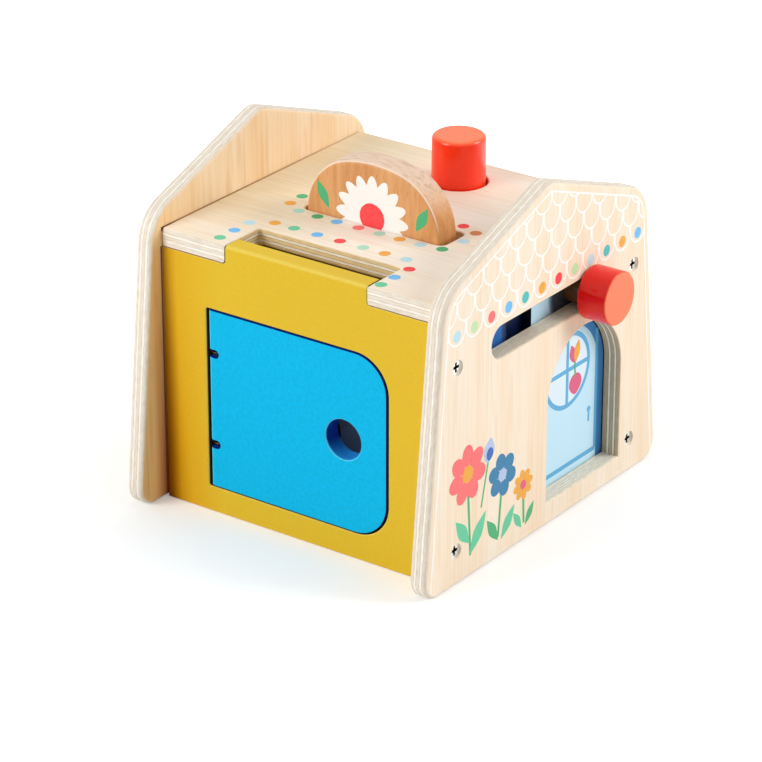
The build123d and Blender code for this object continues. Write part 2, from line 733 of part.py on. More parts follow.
with BuildPart() as rocker_washers:
    for side in (-1, 1):
        washer_middle_x = side * (rocker_width / 2 + washer_side_gap + washer_thickness / 2)
        with BuildSketch(Plane.YZ.offset(washer_middle_x - washer_thickness / 2)):
            with Locations((rocker_y, rocker_z)):
                Circle(washer_diameter / 2)
                Circle(rocker_axle_diameter / 2, mode=Mode.SUBTRACT)
        extrude(amount=washer_thickness)
rocker_washers.part.label = "rocker_washers"
export_step(rocker_washers.part, "parts/rocker_washers.step")

with BuildPart() as bracket_screws:
    with Locations(*bracket_screw_places):
        add(bracket_screw)
bracket_screws.part.label = "bracket_screws"
export_step(bracket_screws.part, "parts/bracket_screws.step")

# Shutter behind the window, its knob and the screw that joins them
with BuildPart() as shutter:
    with BuildSketch(Plane.YZ.offset(shutter_inner_x)):
        with Locations((shutter_middle_y, base_thickness + shutter_end_gap)):
            Rectangle(
                shutter_width, inside_height - 2 * shutter_end_gap, align=(Align.CENTER, Align.MIN)
            )
    extrude(amount=shutter_thickness)
    with Locations(shutter_screw_place):
        add(shutter_screw_hole, mode=Mode.SUBTRACT)
shutter.part.label = "shutter"
export_step(shutter.part, "parts/shutter.step")

knob_base_x = outer_x + knob_standoff
with BuildPart() as knob:
    with BuildSketch(Plane.YZ.offset(knob_base_x)):
        with Locations((shutter_middle_y, knob_z)):
            Circle(knob_diameter / 2)
    extrude(amount=knob_length)
    fillet(knob.edges().filter_by(GeomType.CIRCLE), radius=knob_round)
    with BuildSketch(Plane.YZ.offset(shutter_outer_x)):
        with Locations((shutter_middle_y, knob_z)):
            Circle(knob_neck_diameter / 2)
    extrude(amount=knob_base_x - shutter_outer_x)
    with Locations(shutter_screw_place):
        add(shutter_screw_hole, mode=Mode.SUBTRACT)
knob.part.label = "knob"
export_step(knob.part, "parts/knob.step")

with BuildPart() as knob_screw:
    with Locations(shutter_screw_place):
        add(shutter_screw)
knob_screw.part.label = "knob_screw"
export_step(knob_screw.part, "parts/knob_screw.step")
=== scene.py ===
"""Looks of the wooden hide-and-seek house: plywood, paint, lacquer, prints, light and camera.

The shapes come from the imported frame. The prints are thin films of ink, drawn flat in
millimetres and then laid on their boards.
"""
import math

import bpy
from mathutils import Matrix, Vector


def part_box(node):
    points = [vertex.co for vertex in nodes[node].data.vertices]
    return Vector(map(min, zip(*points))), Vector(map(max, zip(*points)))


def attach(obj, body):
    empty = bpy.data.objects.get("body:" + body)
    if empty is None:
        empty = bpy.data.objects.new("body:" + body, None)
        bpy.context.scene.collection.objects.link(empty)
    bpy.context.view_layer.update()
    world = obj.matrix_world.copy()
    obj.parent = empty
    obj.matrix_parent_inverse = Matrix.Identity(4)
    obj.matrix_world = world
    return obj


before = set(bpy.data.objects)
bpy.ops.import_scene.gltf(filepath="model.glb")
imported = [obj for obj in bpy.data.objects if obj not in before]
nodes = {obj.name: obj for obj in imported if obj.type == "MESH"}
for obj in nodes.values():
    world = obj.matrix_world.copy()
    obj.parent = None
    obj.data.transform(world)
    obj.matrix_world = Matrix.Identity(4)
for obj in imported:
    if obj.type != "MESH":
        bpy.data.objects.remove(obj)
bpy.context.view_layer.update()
MM = 0.001

# Sizes taken from the frame
right_low, right_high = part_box("right_gable")
left_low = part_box("left_gable")[0]
deck_low, deck_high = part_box("deck")
plaque_low, plaque_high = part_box("plaque")
shutter_low, shutter_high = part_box("shutter")
divider_low, divider_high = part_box("divider")
backing_low, backing_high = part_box("window_backing")
door_low, door_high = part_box("door_leaf")
panel_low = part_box("front_panel")[0]

# The gables' roof line, in millimetres above the deck and past the body, as the maker drew it
ROOF_PEAK = deck_high.z / MM + 33.5
SHOULDER_Z = deck_high.z / MM + 6.0
SHOULDER_Y = panel_low.y / -MM + 5.3
FOOT_Y = panel_low.y / -MM + 18.8

# Print on the gables
TILE_PITCH = 12.5
TILE_ROW = 9.35
TILE_FIRST = 110.3
TILE_LINE = 0.85
TILE_START_Y = -68.1
BORDER_INSET = 3.9
BORDER_LINE = 0.8
BORDER_ROUNDING = 12.4
DOT_SIZE = 5.2
DOT_HEIGHT = 114.7
INK_FILM = 0.03

# The knob starts this far from the gable, on a bare neck
KNOB_STANDOFF = 1.1 * MM

# Depths at which the plies end, and the glue's width, as shares of the board
PLY_ENDS = (0.26, 0.40, 0.60, 0.74)
GLUE_LINE = 0.02

# Tones of the plies on a sawn edge, as (broad plies, narrow plies, glue)
CLEAN_PLIES = ("#EBE1D2", "#FCF5EA", "#D2C6B0")
# Painted light: plies on the sills of routed cuts, which face up, pale as if lit
LIT_SILL_PLIES = ("#FFF3DC", "#FFF9EC", "#D2B284")
# Painted shade: plies on the steep walls of routed cuts, darker and browner
SHADED_GABLE_PLIES = ("#CFBB99", "#FFF6E4", "#80623F")
SHADED_DECK_PLIES = ("#F0D9A9", "#FFFCF0", "#B08A58")

# Boxes round the routed openings, as (axis, middle, half size): slot and window of the right
# gable, then slots and peg hole of the deck
GABLE_OPENINGS = (("Y", 10 * MM, 60 * MM), ("Z", 66 * MM, 60 * MM))
DECK_OPENINGS = (("X", 0.0, 60 * MM), ("Y", 0.0, 64 * MM))

# Painted shade: dark lines on the gables' inner faces, where the deck and the front panel meet
# them, with a little glue, and a painted shadow line on the foot of the deck's edge
DECK_SEAM_SHADE = (
    ("X", 0.0, right_low.x + 0.2 * MM),
    ("Y", 0.0, deck_high.y),
    ("Z", deck_high.z - 0.7 * MM, 0.85 * MM),
)
PANEL_SEAM_SHADE = (
    ("X", 0.0, right_low.x + 0.2 * MM),
    ("Y", panel_low.y - 0.3 * MM, 0.45 * MM),
    ("Z", 0.0, deck_low.z),
)
DECK_FOOT_SHADOW = (("Z", deck_low.z + 0.27 * MM, 0.22 * MM),)

# Painted shade darkens the corner of left gable and front panel over this distance from it,
# and most at this height
CORNER_REACH = 8 * MM
CORNER_FOOT = 20 * MM

# Painted shade: the front panel's yellow turns to gold between these places on X, most of all in
# the corner's foot, and half as much from this height up
GOLD_START, GOLD_FULL = -40 * MM, -68 * MM
GOLD_TOP = 100 * MM

# Middle of the door's finger hole, from the free edge, and half of a box round the hole
FINGER_HOLE_INSET = 22.2 * MM
FINGER_HOLE_REACH = 10 * MM

# Painted shade in the screws' cross recesses starts this far below the heads' tops
RECESS_RIM = 0.1 * MM
RECESS_FADE = 0.4 * MM


def linear(colour):
    """An sRGB hex value as the linear colour that a shader wants."""
    channels = [int(colour[i:i + 2], 16) / 255 for i in (1, 3, 5)]
    flat = [c / 12.92 if c <= 0.04045 else ((c + 0.055) / 1.055) ** 2.4 for c in channels]
    return (*flat, 1.0)


def add_node(tree, kind, inputs=None, stops=None, blend="LINEAR", **settings):
    """Adds a node. A socket among the inputs is linked, and any other value is set.

    stops are the (place, hex) stops of a colour ramp, and blend is how it runs between them.
    """
    node = tree.nodes.new(kind)
    for key, value in settings.items():
        setattr(node, key, value)
    for key, value in (inputs or {}).items():
        if isinstance(value, bpy.types.NodeSocket):
            tree.links.new(value, node.inputs[key])
        else:
            node.inputs[key].default_value = value
    if stops:
        ramp = node.color_ramp
        ramp.interpolation = blend
        ramp.elements.remove(ramp.elements[1])
        ramp.elements[0].position = stops[0][0]
        ramp.elements[0].color = linear(stops[0][1])
        for place, colour in stops[1:]:
            ramp.elements.new(place).color = linear(colour)
    return node


def new_finish(name, roughness, **sockets):
    """A material with its shader set, ready for its pattern."""
    material = bpy.data.materials.new(name)
    material.use_nodes = True
    tree = material.node_tree
    shader = tree.nodes["Principled BSDF"]
    shader.inputs["Roughness"].default_value = roughness
    for key, value in sockets.items():
        shader.inputs[key.replace("_", " ")].default_value = value
    return material, tree, shader


def inside_box(tree, parts, *spans):
    """A mask that is 1 inside a box, whose spans are (axis, middle, half size) in metres."""
    mask = 1.0
    for axis, middle, half in spans:
        off = add_node(
            tree, "ShaderNodeMath", {0: parts[axis], 1: middle}, operation="SUBTRACT"
        ).outputs[0]
        off = add_node(tree, "ShaderNodeMath", {0: off}, operation="ABSOLUTE").outputs[0]
        near = add_node(tree, "ShaderNodeMath", {0: off, 1: half}, operation="LESS_THAN").outputs[0]
        mask = add_node(tree, "ShaderNodeMath", {0: near, 1: mask}, operation="MULTIPLY").outputs[0]
    return mask


def surface(tree):
    """A point of the surface, its X, Y and Z, and the X, Y and Z of the way it faces."""
    coordinates = add_node(tree, "ShaderNodeTexCoord").outputs
    parts = add_node(tree, "ShaderNodeSeparateXYZ", {0: coordinates["Object"]}).outputs
    facing = add_node(tree, "ShaderNodeSeparateXYZ", {0: coordinates["Normal"]}).outputs
    return coordinates["Object"], parts, facing


def grain(tree, place, axis, times, scale, detail, distortion=0.0):
    """A noise that is drawn out along one axis, as figure and pores are along the wood."""
    drawn_out = add_node(
        tree,
        "ShaderNodeMapping",
        {"Vector": place, "Scale": [1 / times if letter == axis else 1.0 for letter in "XYZ"]},
    ).outputs[0]
    return add_node(
        tree,
        "ShaderNodeTexNoise",
        {"Vector": drawn_out, "Scale": scale, "Detail": detail, "Distortion": distortion},
    ).outputs["Fac"]


def tile_ink(tree, parts):
    """How much white ink lies at a place on a gable: roof tiles, and a line along the edge.

    All of it is worked out in millimetres from Y and Z. A tile is a U as wide as the pitch,
    and each row covers the tops of the row below.
    """
    y = add_node(tree, "ShaderNodeMath", {0: parts["Y"], 1: 1 / MM}, operation="MULTIPLY").outputs[0]
    z = add_node(tree, "ShaderNodeMath", {0: parts["Z"], 1: 1 / MM}, operation="MULTIPLY").outputs[0]
    half = TILE_PITCH / 2
    rises, outlines = [], []
    for row in (0, 1):
        shift = add_node(
            tree, "ShaderNodeMath", {0: y, 1: TILE_START_Y + row * half}, operation="SUBTRACT"
        ).outputs[0]
        across = add_node(
            tree, "ShaderNodeMath", {0: shift, 1: half, 2: -half}, operation="WRAP"
        ).outputs[0]
        across2 = add_node(
            tree, "ShaderNodeMath", {0: across, 1: across}, operation="MULTIPLY"
        ).outputs[0]
        under = add_node(
            tree, "ShaderNodeMath", {0: half * half, 1: across2}, operation="SUBTRACT"
        ).outputs[0]
        chord = add_node(tree, "ShaderNodeMath", {0: under}, operation="SQRT").outputs[0]
        curve = add_node(tree, "ShaderNodeMath", {0: half, 1: chord}, operation="SUBTRACT").outputs[0]
        level = add_node(
            tree, "ShaderNodeMath", {0: z, 1: TILE_FIRST + row * TILE_ROW}, operation="SUBTRACT"
        ).outputs[0]
        raw = add_node(tree, "ShaderNodeMath", {0: level, 1: curve}, operation="SUBTRACT").outputs[0]
        rise = add_node(
            tree, "ShaderNodeMath", {0: raw, 1: 2 * TILE_ROW, 2: 0.0}, operation="WRAP"
        ).outputs[0]
        height = add_node(tree, "ShaderNodeMath", {0: rise, 1: curve}, operation="ADD").outputs[0]
        below = add_node(tree, "ShaderNodeMath", {0: height, 1: half}, operation="SUBTRACT").outputs[0]
        below = add_node(tree, "ShaderNodeMath", {0: below, 1: 0.0}, operation="MINIMUM").outputs[0]
        below2 = add_node(
            tree, "ShaderNodeMath", {0: below, 1: below, 2: across2}, operation="MULTIPLY_ADD"
        ).outputs[0]
        reach = add_node(tree, "ShaderNodeMath", {0: below2}, operation="SQRT").outputs[0]
        outline = add_node(
            tree, "ShaderNodeMath", {0: half, 1: reach}, operation="SUBTRACT"
        ).outputs[0]
        rises.append(rise)
        outlines.append(outline)
        if row == 0:
            first_row = add_node(
                tree, "ShaderNodeMath", {0: raw, 1: 0.0}, operation="GREATER_THAN"
            ).outputs[0]
    seen = add_node(
        tree, "ShaderNodeMath", {0: rises[0], 1: rises[1]}, operation="LESS_THAN"
    ).outputs[0]
    edge = add_node(
        tree, "ShaderNodeMix", {0: seen, 2: outlines[1], 3: outlines[0]}, data_type="FLOAT"
    ).outputs[0]
    line = add_node(
        tree, "ShaderNodeMath", {0: edge, 1: TILE_LINE}, operation="LESS_THAN"
    ).outputs[0]
    tiles = add_node(tree, "ShaderNodeMath", {0: line, 1: first_row}, operation="MULTIPLY").outputs[0]

    # Distance inside the outline: from the roof's slope and from the gable's side
    side_y = add_node(tree, "ShaderNodeMath", {0: y}, operation="ABSOLUTE").outputs[0]
    distances = []
    for (y0, z0), (y1, z1) in (
        ((0, ROOF_PEAK), (SHOULDER_Y, SHOULDER_Z)),
        ((SHOULDER_Y, SHOULDER_Z), (FOOT_Y, 0)),
    ):
        length = math.hypot(y1 - y0, z1 - z0)
        inward_y, inward_z = (z1 - z0) / length, (y0 - y1) / length
        offset = -(inward_y * y0 + inward_z * z0)
        part = add_node(
            tree, "ShaderNodeMath", {0: side_y, 1: inward_y, 2: offset}, operation="MULTIPLY_ADD"
        ).outputs[0]
        distances.append(
            add_node(
                tree, "ShaderNodeMath", {0: z, 1: inward_z, 2: part}, operation="MULTIPLY_ADD"
            ).outputs[0]
        )
    inside = add_node(
        tree,
        "ShaderNodeMath",
        {0: distances[0], 1: distances[1], 2: BORDER_ROUNDING},
        operation="SMOOTH_MIN",
    ).outputs[0]
    within = add_node(
        tree, "ShaderNodeMath", {0: inside, 1: BORDER_INSET}, operation="GREATER_THAN"
    ).outputs[0]
    beyond = add_node(
        tree, "ShaderNodeMath", {0: inside, 1: BORDER_INSET + BORDER_LINE}, operation="LESS_THAN"
    ).outputs[0]
    border = add_node(
        tree, "ShaderNodeMath", {0: within, 1: beyond}, operation="MULTIPLY"
    ).outputs[0]
    tiles = add_node(tree, "ShaderNodeMath", {0: tiles, 1: within}, operation="MULTIPLY").outputs[0]
    return add_node(tree, "ShaderNodeMath", {0: tiles, 1: border}, operation="MAXIMUM").outputs[0]


def birch_plywood(
    name,
    layer_axis,
    grain_axis,
    start,
    thickness,
    veneer,
    printed_side=0,
    shaded_cuts=None,
    shaded_seams=(),
    tints_and_shade=(),
):
    """Birch plywood, five rotary-cut plies, sanded, with a satin water-based varnish.

    The face veneer is cream with soft bands about 15 mm wide, darker streaks 3 mm wide and
    faint grain lines. veneer gives its pale, warm and streak tones. A sawn edge shows three
    broad beige plies and two narrow creamy ones, parted by glue lines that are drawn 0.2 mm
    thick, and they also come out on the rounded arris. Routed cuts come with the tones of
    their plies and the cuts' box: their steep walls are painted darker and browner as shade,
    and their sills, which face up, are painted pale as lit. Along the given joints, painted
    shade with a little glue darkens the wood, less and less towards the rear. Tones given
    with ranges tint the veneer, apart from a face that is turned to -X: painted shade and
    bounce light in the left gable's corner with the front panel and towards its front edge,
    and faint tints on the deck. A range is (axis, where it is clear, where it is full).
    """
    material, tree, shader = new_finish(name, 0.5, Specular_IOR_Level=0.25)
    place, parts, facing = surface(tree)

    # Face veneer
    bands = grain(tree, place, grain_axis, 12, 60.0, 2.0)
    streaks = grain(tree, place, grain_axis, 12, 300.0, 3.0, distortion=0.4)
    lines = grain(tree, place, grain_axis, 50, 900.0, 2.0)
    pale, warm, streak = veneer
    band_colour = add_node(
        tree, "ShaderNodeValToRGB", {0: bands}, stops=[(0.36, warm), (0.64, pale)]
    ).outputs[0]
    streak_share = add_node(
        tree, "ShaderNodeMapRange", {"Value": streaks, "From Min": 0.54, "From Max": 0.86}
    ).outputs[0]
    streaked = add_node(
        tree, "ShaderNodeMix", {0: streak_share, 6: band_colour, 7: linear(streak)}, data_type="RGBA"
    ).outputs[2]
    line_colour = add_node(
        tree, "ShaderNodeValToRGB", {0: lines}, stops=[(0.34, "#F0E6D8"), (0.52, "#FFFFFF")]
    ).outputs[0]
    face = add_node(
        tree,
        "ShaderNodeMix",
        {0: 0.35, 6: streaked, 7: line_colour},
        data_type="RGBA",
        blend_type="MULTIPLY",
    ).outputs[2]
    lit = add_node(
        tree, "ShaderNodeMath", {0: facing["X"], 1: -0.5}, operation="GREATER_THAN"
    ).outputs[0]
    # Painted shade and tints: each tone multiplies the veneer over its ranges, on faces not turned to -X
    for tone, *ranges in tints_and_shade:
        share = lit
        for axis, clear, full in ranges:
            part = add_node(
                tree,
                "ShaderNodeMapRange",
                {"Value": parts[axis], "From Min": clear, "From Max": full},
            ).outputs[0]
            share = add_node(
                tree, "ShaderNodeMath", {0: share, 1: part}, operation="MULTIPLY"
            ).outputs[0]
        face = add_node(
            tree,
            "ShaderNodeMix",
            {0: share, 6: face, 7: linear(tone)},
            data_type="RGBA",
            blend_type="MULTIPLY",
        ).outputs[2]

    # Edge: plies by their depth, with short fibres
    depth = add_node(
        tree,
        "ShaderNodeMapRange",
        {"Value": parts[layer_axis], "From Min": start, "From Max": start + thickness},
    ).outputs[0]
    shaded_plies, *spans = shaded_cuts or (CLEAN_PLIES,)
    cuts = []
    for broad, narrow, glue in (CLEAN_PLIES, shaded_plies, LIT_SILL_PLIES):
        stops = [(0.0, broad)]
        for k, ply_end in enumerate(PLY_ENDS):
            stops += [(ply_end, glue), (ply_end + GLUE_LINE, broad if k % 2 else narrow)]
        cuts.append(
            add_node(
                tree, "ShaderNodeValToRGB", {0: depth}, stops=stops, blend="CONSTANT"
            ).outputs[0]
        )
    unshaded, browned, sanded = cuts
    plies = unshaded
    # Painted light and shade in routed cuts: pale plies on sills that face up, darker and browner plies
    # on the steep walls
    if spans:
        steep = add_node(
            tree, "ShaderNodeMapRange", {"Value": facing["Z"], "From Min": 0.8, "From Max": 0.2}
        ).outputs[0]
        cut = add_node(
            tree, "ShaderNodeMix", {0: steep, 6: sanded, 7: browned}, data_type="RGBA"
        ).outputs[2]
        plies = add_node(
            tree,
            "ShaderNodeMix",
            {0: inside_box(tree, parts, *spans), 6: unshaded, 7: cut},
            data_type="RGBA",
        ).outputs[2]
    fibres = grain(tree, place, layer_axis, 0.12, 260.0, 4.0)
    fibre_colour = add_node(
        tree, "ShaderNodeValToRGB", {0: fibres}, stops=[(0.33, "#DDD0BC"), (0.6, "#FFFFFF")]
    ).outputs[0]
    edge = add_node(
        tree,
        "ShaderNodeMix",
        {0: 0.5, 6: plies, 7: fibre_colour},
        data_type="RGBA",
        blend_type="MULTIPLY",
    ).outputs[2]

    square = add_node(
        tree, "ShaderNodeMath", {0: facing[layer_axis]}, operation="ABSOLUTE"
    ).outputs[0]
    on_face = add_node(
        tree, "ShaderNodeMapRange", {"Value": square, "From Min": 0.72, "From Max": 0.93}
    ).outputs[0]
    wood = add_node(
        tree, "ShaderNodeMix", {0: on_face, 6: edge, 7: face}, data_type="RGBA"
    ).outputs[2]

    if printed_side:
        outward = add_node(
            tree, "ShaderNodeMath", {0: facing["X"], 1: printed_side}, operation="MULTIPLY"
        ).outputs[0]
        outer = add_node(
            tree, "ShaderNodeMath", {0: outward, 1: 0.98}, operation="GREATER_THAN"
        ).outputs[0]
        ink = add_node(
            tree, "ShaderNodeMath", {0: tile_ink(tree, parts), 1: outer}, operation="MULTIPLY"
        ).outputs[0]
        wood = add_node(
            tree, "ShaderNodeMix", {0: ink, 6: wood, 7: linear("#FFFDF9")}, data_type="RGBA"
        ).outputs[2]
    # Painted shade along the given joints, with a little glue: darkest at the front, paler towards the
    # rear
    if shaded_seams:
        rearward = add_node(
            tree,
            "ShaderNodeMapRange",
            {"Value": parts["Y"], "From Min": deck_low.y, "From Max": deck_high.y},
        ).outputs[0]
        seam_shade = add_node(
            tree,
            "ShaderNodeValToRGB",
            {0: rearward},
            stops=[
                (0.03, "#6E4E32"),
                (0.09, "#BE945A"),
                (0.4, "#BE9768"),
                (0.7, "#D6B288"),
                (0.9, "#EED2AE"),
            ],
        ).outputs[0]
    for seam in shaded_seams:
        joint = inside_box(tree, parts, *seam)
        wood = add_node(
            tree, "ShaderNodeMix", {0: joint, 6: wood, 7: seam_shade}, data_type="RGBA"
        ).outputs[2]
    tree.links.new(wood, shader.inputs["Base Color"])

    bump = add_node(
        tree, "ShaderNodeBump", {"Height": lines, "Strength": 0.25, "Distance": 0.06 * MM}
    ).outputs[0]
    tree.links.new(bump, shader.inputs["Normal"])
    return material


def sprayed_enamel(name, colour, arris, edge, cut, mottle, open_edges, gold=None):
    """Water-based enamel, sprayed on primed board that faces along Y.

    The colour is even and the gloss low, with an orange peel drawn 1.5 mm wide, whose hollows
    are as dark as mottle. The rounded arris has a painted highlight, the tone arris. The walls
    of cuts have painted shade, the tone cut, and edges that face up in the box open_edges are
    painted as lit, in the tone edge. gold is a warm tone of painted shade, into which the coat
    turns towards the panel's left end, most of all low down, and in the corner the coat is
    painted darker and browner still, as shade.
    """
    material, tree, shader = new_finish(name, 0.5, Specular_IOR_Level=0.08)
    place, parts, facing = surface(tree)
    square = add_node(tree, "ShaderNodeMath", {0: facing["Y"]}, operation="ABSOLUTE").outputs[0]
    # Painted light on edges that face up in the open box, and painted shade on the walls of cuts
    upward = add_node(
        tree, "ShaderNodeMapRange", {"Value": facing["Z"], "From Min": 0.35, "From Max": 0.85}
    ).outputs[0]
    upward = add_node(
        tree,
        "ShaderNodeMath",
        {0: upward, 1: inside_box(tree, parts, *open_edges)},
        operation="MULTIPLY",
    ).outputs[0]
    sides = add_node(
        tree, "ShaderNodeMix", {0: upward, 6: linear(cut), 7: linear(edge)}, data_type="RGBA"
    ).outputs[2]
    # Painted highlight on the rounded arris
    coat = add_node(
        tree, "ShaderNodeValToRGB", {0: square}, stops=[(0.82, arris), (0.97, colour)]
    ).outputs[0]
    # Painted shade: warm gold towards the left end, darker and browner in the corner
    if gold:
        gold_shade = add_node(
            tree,
            "ShaderNodeMapRange",
            {"Value": parts["X"], "From Min": GOLD_START, "From Max": GOLD_FULL},
        ).outputs[0]
        low = add_node(
            tree,
            "ShaderNodeMapRange",
            {"Value": parts["Z"], "From Min": GOLD_TOP, "From Max": CORNER_FOOT, "To Min": 0.5},
        ).outputs[0]
        gold_shade = add_node(
            tree, "ShaderNodeMath", {0: gold_shade, 1: low}, operation="MULTIPLY"
        ).outputs[0]
        coat = add_node(
            tree, "ShaderNodeMix", {0: gold_shade, 6: coat, 7: linear(gold)}, data_type="RGBA"
        ).outputs[2]
        near = add_node(
            tree,
            "ShaderNodeMapRange",
            {
                "Value": parts["X"],
                "From Min": panel_low.x + CORNER_REACH,
                "From Max": panel_low.x,
            },
        ).outputs[0]
        near = add_node(tree, "ShaderNodeMath", {0: near, 1: low}, operation="MULTIPLY").outputs[0]
        coat = add_node(
            tree,
            "ShaderNodeMix",
            {0: near, 6: coat, 7: linear("#A06848")},
            data_type="RGBA",
            blend_type="MULTIPLY",
        ).outputs[2]
    on_face = add_node(
        tree, "ShaderNodeMapRange", {"Value": square, "From Min": 0.12, "From Max": 0.45}
    ).outputs[0]
    coat = add_node(
        tree, "ShaderNodeMix", {0: on_face, 6: sides, 7: coat}, data_type="RGBA"
    ).outputs[2]
    peel = add_node(
        tree, "ShaderNodeTexNoise", {"Vector": place, "Scale": 640.0, "Detail": 3.0}
    ).outputs["Fac"]
    shade = add_node(
        tree, "ShaderNodeValToRGB", {0: peel}, stops=[(0.35, mottle), (0.65, "#FFFFFF")]
    ).outputs[0]
    painted = add_node(
        tree,
        "ShaderNodeMix",
        {0: 1.0, 6: coat, 7: shade},
        data_type="RGBA",
        blend_type="MULTIPLY",
    ).outputs[2]
    tree.links.new(painted, shader.inputs["Base Color"])
    bump = add_node(
        tree, "ShaderNodeBump", {"Height": peel, "Strength": 0.3, "Distance": 0.05 * MM}
    ).outputs[0]
    tree.links.new(bump, shader.inputs["Normal"])
    return material


def red_lacquer(name, end_axis, side, bare_below=None):
    """Polyurethane lacquer on a turned beech dowel, rubbed down and topped with a clear coat.

    The turned side has the tone side, a deep orange-red with an orange sheen where it turns
    away. The flat ends are painted salmon, a painted highlight of the light falling on them.
    Below the place bare_below on the axis, the wood is left bare, and its brown is painted
    deep as shade in the slot.
    """
    material, tree, shader = new_finish(
        name,
        0.42,
        Specular_IOR_Level=0.1,
        Coat_Weight=0.6,
        Coat_Roughness=0.05,
        Sheen_Weight=0.5,
        Sheen_Roughness=0.35,
        Sheen_Tint=linear("#FF7A30"),
    )
    place, parts, facing = surface(tree)
    # Painted highlight: the flat ends are paler and salmon
    end = add_node(tree, "ShaderNodeMath", {0: facing[end_axis]}, operation="ABSOLUTE").outputs[0]
    lacquer = add_node(
        tree, "ShaderNodeValToRGB", {0: end}, stops=[(0.3, side), (0.97, "#FF7640")]
    ).outputs[0]
    fibres = add_node(
        tree, "ShaderNodeTexNoise", {"Vector": place, "Scale": 700.0, "Detail": 3.0}
    ).outputs["Fac"]
    shade = add_node(
        tree, "ShaderNodeValToRGB", {0: fibres}, stops=[(0.3, "#FAFAFA"), (0.65, "#FFFFFF")]
    ).outputs[0]
    colour = add_node(
        tree,
        "ShaderNodeMix",
        {0: 1.0, 6: lacquer, 7: shade},
        data_type="RGBA",
        blend_type="MULTIPLY",
    ).outputs[2]
    # Bare neck, painted deep brown as shade in the slot
    if bare_below is not None:
        bare = add_node(
            tree, "ShaderNodeMath", {0: parts[end_axis], 1: bare_below}, operation="LESS_THAN"
        ).outputs[0]
        colour = add_node(
            tree, "ShaderNodeMix", {0: bare, 6: colour, 7: linear("#6B4528")}, data_type="RGBA"
        ).outputs[2]
    tree.links.new(colour, shader.inputs["Base Color"])
    ripple = add_node(
        tree, "ShaderNodeTexNoise", {"Vector": place, "Scale": 420.0, "Detail": 1.0}
    ).outputs["Fac"]
    bump = add_node(
        tree, "ShaderNodeBump", {"Height": ripple, "Strength": 0.1, "Distance": 0.05 * MM}
    ).outputs[0]
    tree.links.new(bump, shader.inputs["Normal"])
    return material


def solid_beech(name, grain_axis, pale, warm, rim=None):
    """Steamed beech, planed, sanded and oiled.

    Tan, with straight rings 2 to 4 mm apart and short darker ray flecks along the grain. rim
    holds the two tones of the sawn outline that faces up, paler end grain with painted light
    on it, and the tone of its arris, a painted highlight.
    """
    material, tree, shader = new_finish(name, 0.45, Specular_IOR_Level=0.35)
    place, _, facing = surface(tree)
    sway = grain(tree, place, grain_axis, 12, 70.0, 2.0)
    rings = grain(tree, place, grain_axis, 12, 420.0, 3.0)
    flecks = grain(tree, place, grain_axis, 7, 1500.0, 1.0)
    wood = add_node(
        tree, "ShaderNodeValToRGB", {0: sway}, stops=[(0.35, warm), (0.65, pale)]
    ).outputs[0]
    ring_colour = add_node(
        tree, "ShaderNodeValToRGB", {0: rings}, stops=[(0.35, "#E6CBAA"), (0.6, "#FFFFFF")]
    ).outputs[0]
    fleck_colour = add_node(
        tree, "ShaderNodeValToRGB", {0: flecks}, stops=[(0.29, "#B98A60"), (0.36, "#FFFFFF")]
    ).outputs[0]
    for layer, share in ((ring_colour, 0.5), (fleck_colour, 0.4)):
        wood = add_node(
            tree,
            "ShaderNodeMix",
            {0: share, 6: wood, 7: layer},
            data_type="RGBA",
            blend_type="MULTIPLY",
        ).outputs[2]
    # Paler end grain with painted light on the outline that faces up, and a painted highlight along the
    # front arris
    if rim:
        above = add_node(
            tree, "ShaderNodeMapRange", {"Value": facing["Z"], "From Min": 0.4, "From Max": 0.85}
        ).outputs[0]
        pores = grain(tree, place, "X", 5, 700.0, 2.0)
        end_grain = add_node(
            tree, "ShaderNodeValToRGB", {0: pores}, stops=[(0.35, rim[0]), (0.55, rim[1])]
        ).outputs[0]
        wood = add_node(
            tree, "ShaderNodeMix", {0: above, 6: wood, 7: end_grain}, data_type="RGBA"
        ).outputs[2]
        front = add_node(
            tree, "ShaderNodeMath", {0: facing["Y"], 1: -1.0}, operation="MULTIPLY"
        ).outputs[0]
        arris = add_node(
            tree,
            "ShaderNodeValToRGB",
            {0: front},
            stops=[(0.45, "#000000"), (0.6, "#FFFFFF"), (0.75, "#FFFFFF"), (0.9, "#000000")],
        ).outputs[0]
        rising = add_node(
            tree, "ShaderNodeMapRange", {"Value": facing["Z"], "From Min": 0.1, "From Max": 0.3}
        ).outputs[0]
        arris = add_node(
            tree, "ShaderNodeMath", {0: arris, 1: rising}, operation="MULTIPLY"
        ).outputs[0]
        wood = add_node(
            tree, "ShaderNodeMix", {0: arris, 6: wood, 7: linear(rim[2])}, data_type="RGBA"
        ).outputs[2]
    tree.links.new(wood, shader.inputs["Base Color"])
    bump = add_node(
        tree, "ShaderNodeBump", {"Height": rings, "Strength": 0.3, "Distance": 0.08 * MM}
    ).outputs[0]
    tree.links.new(bump, shader.inputs["Normal"])
    return material


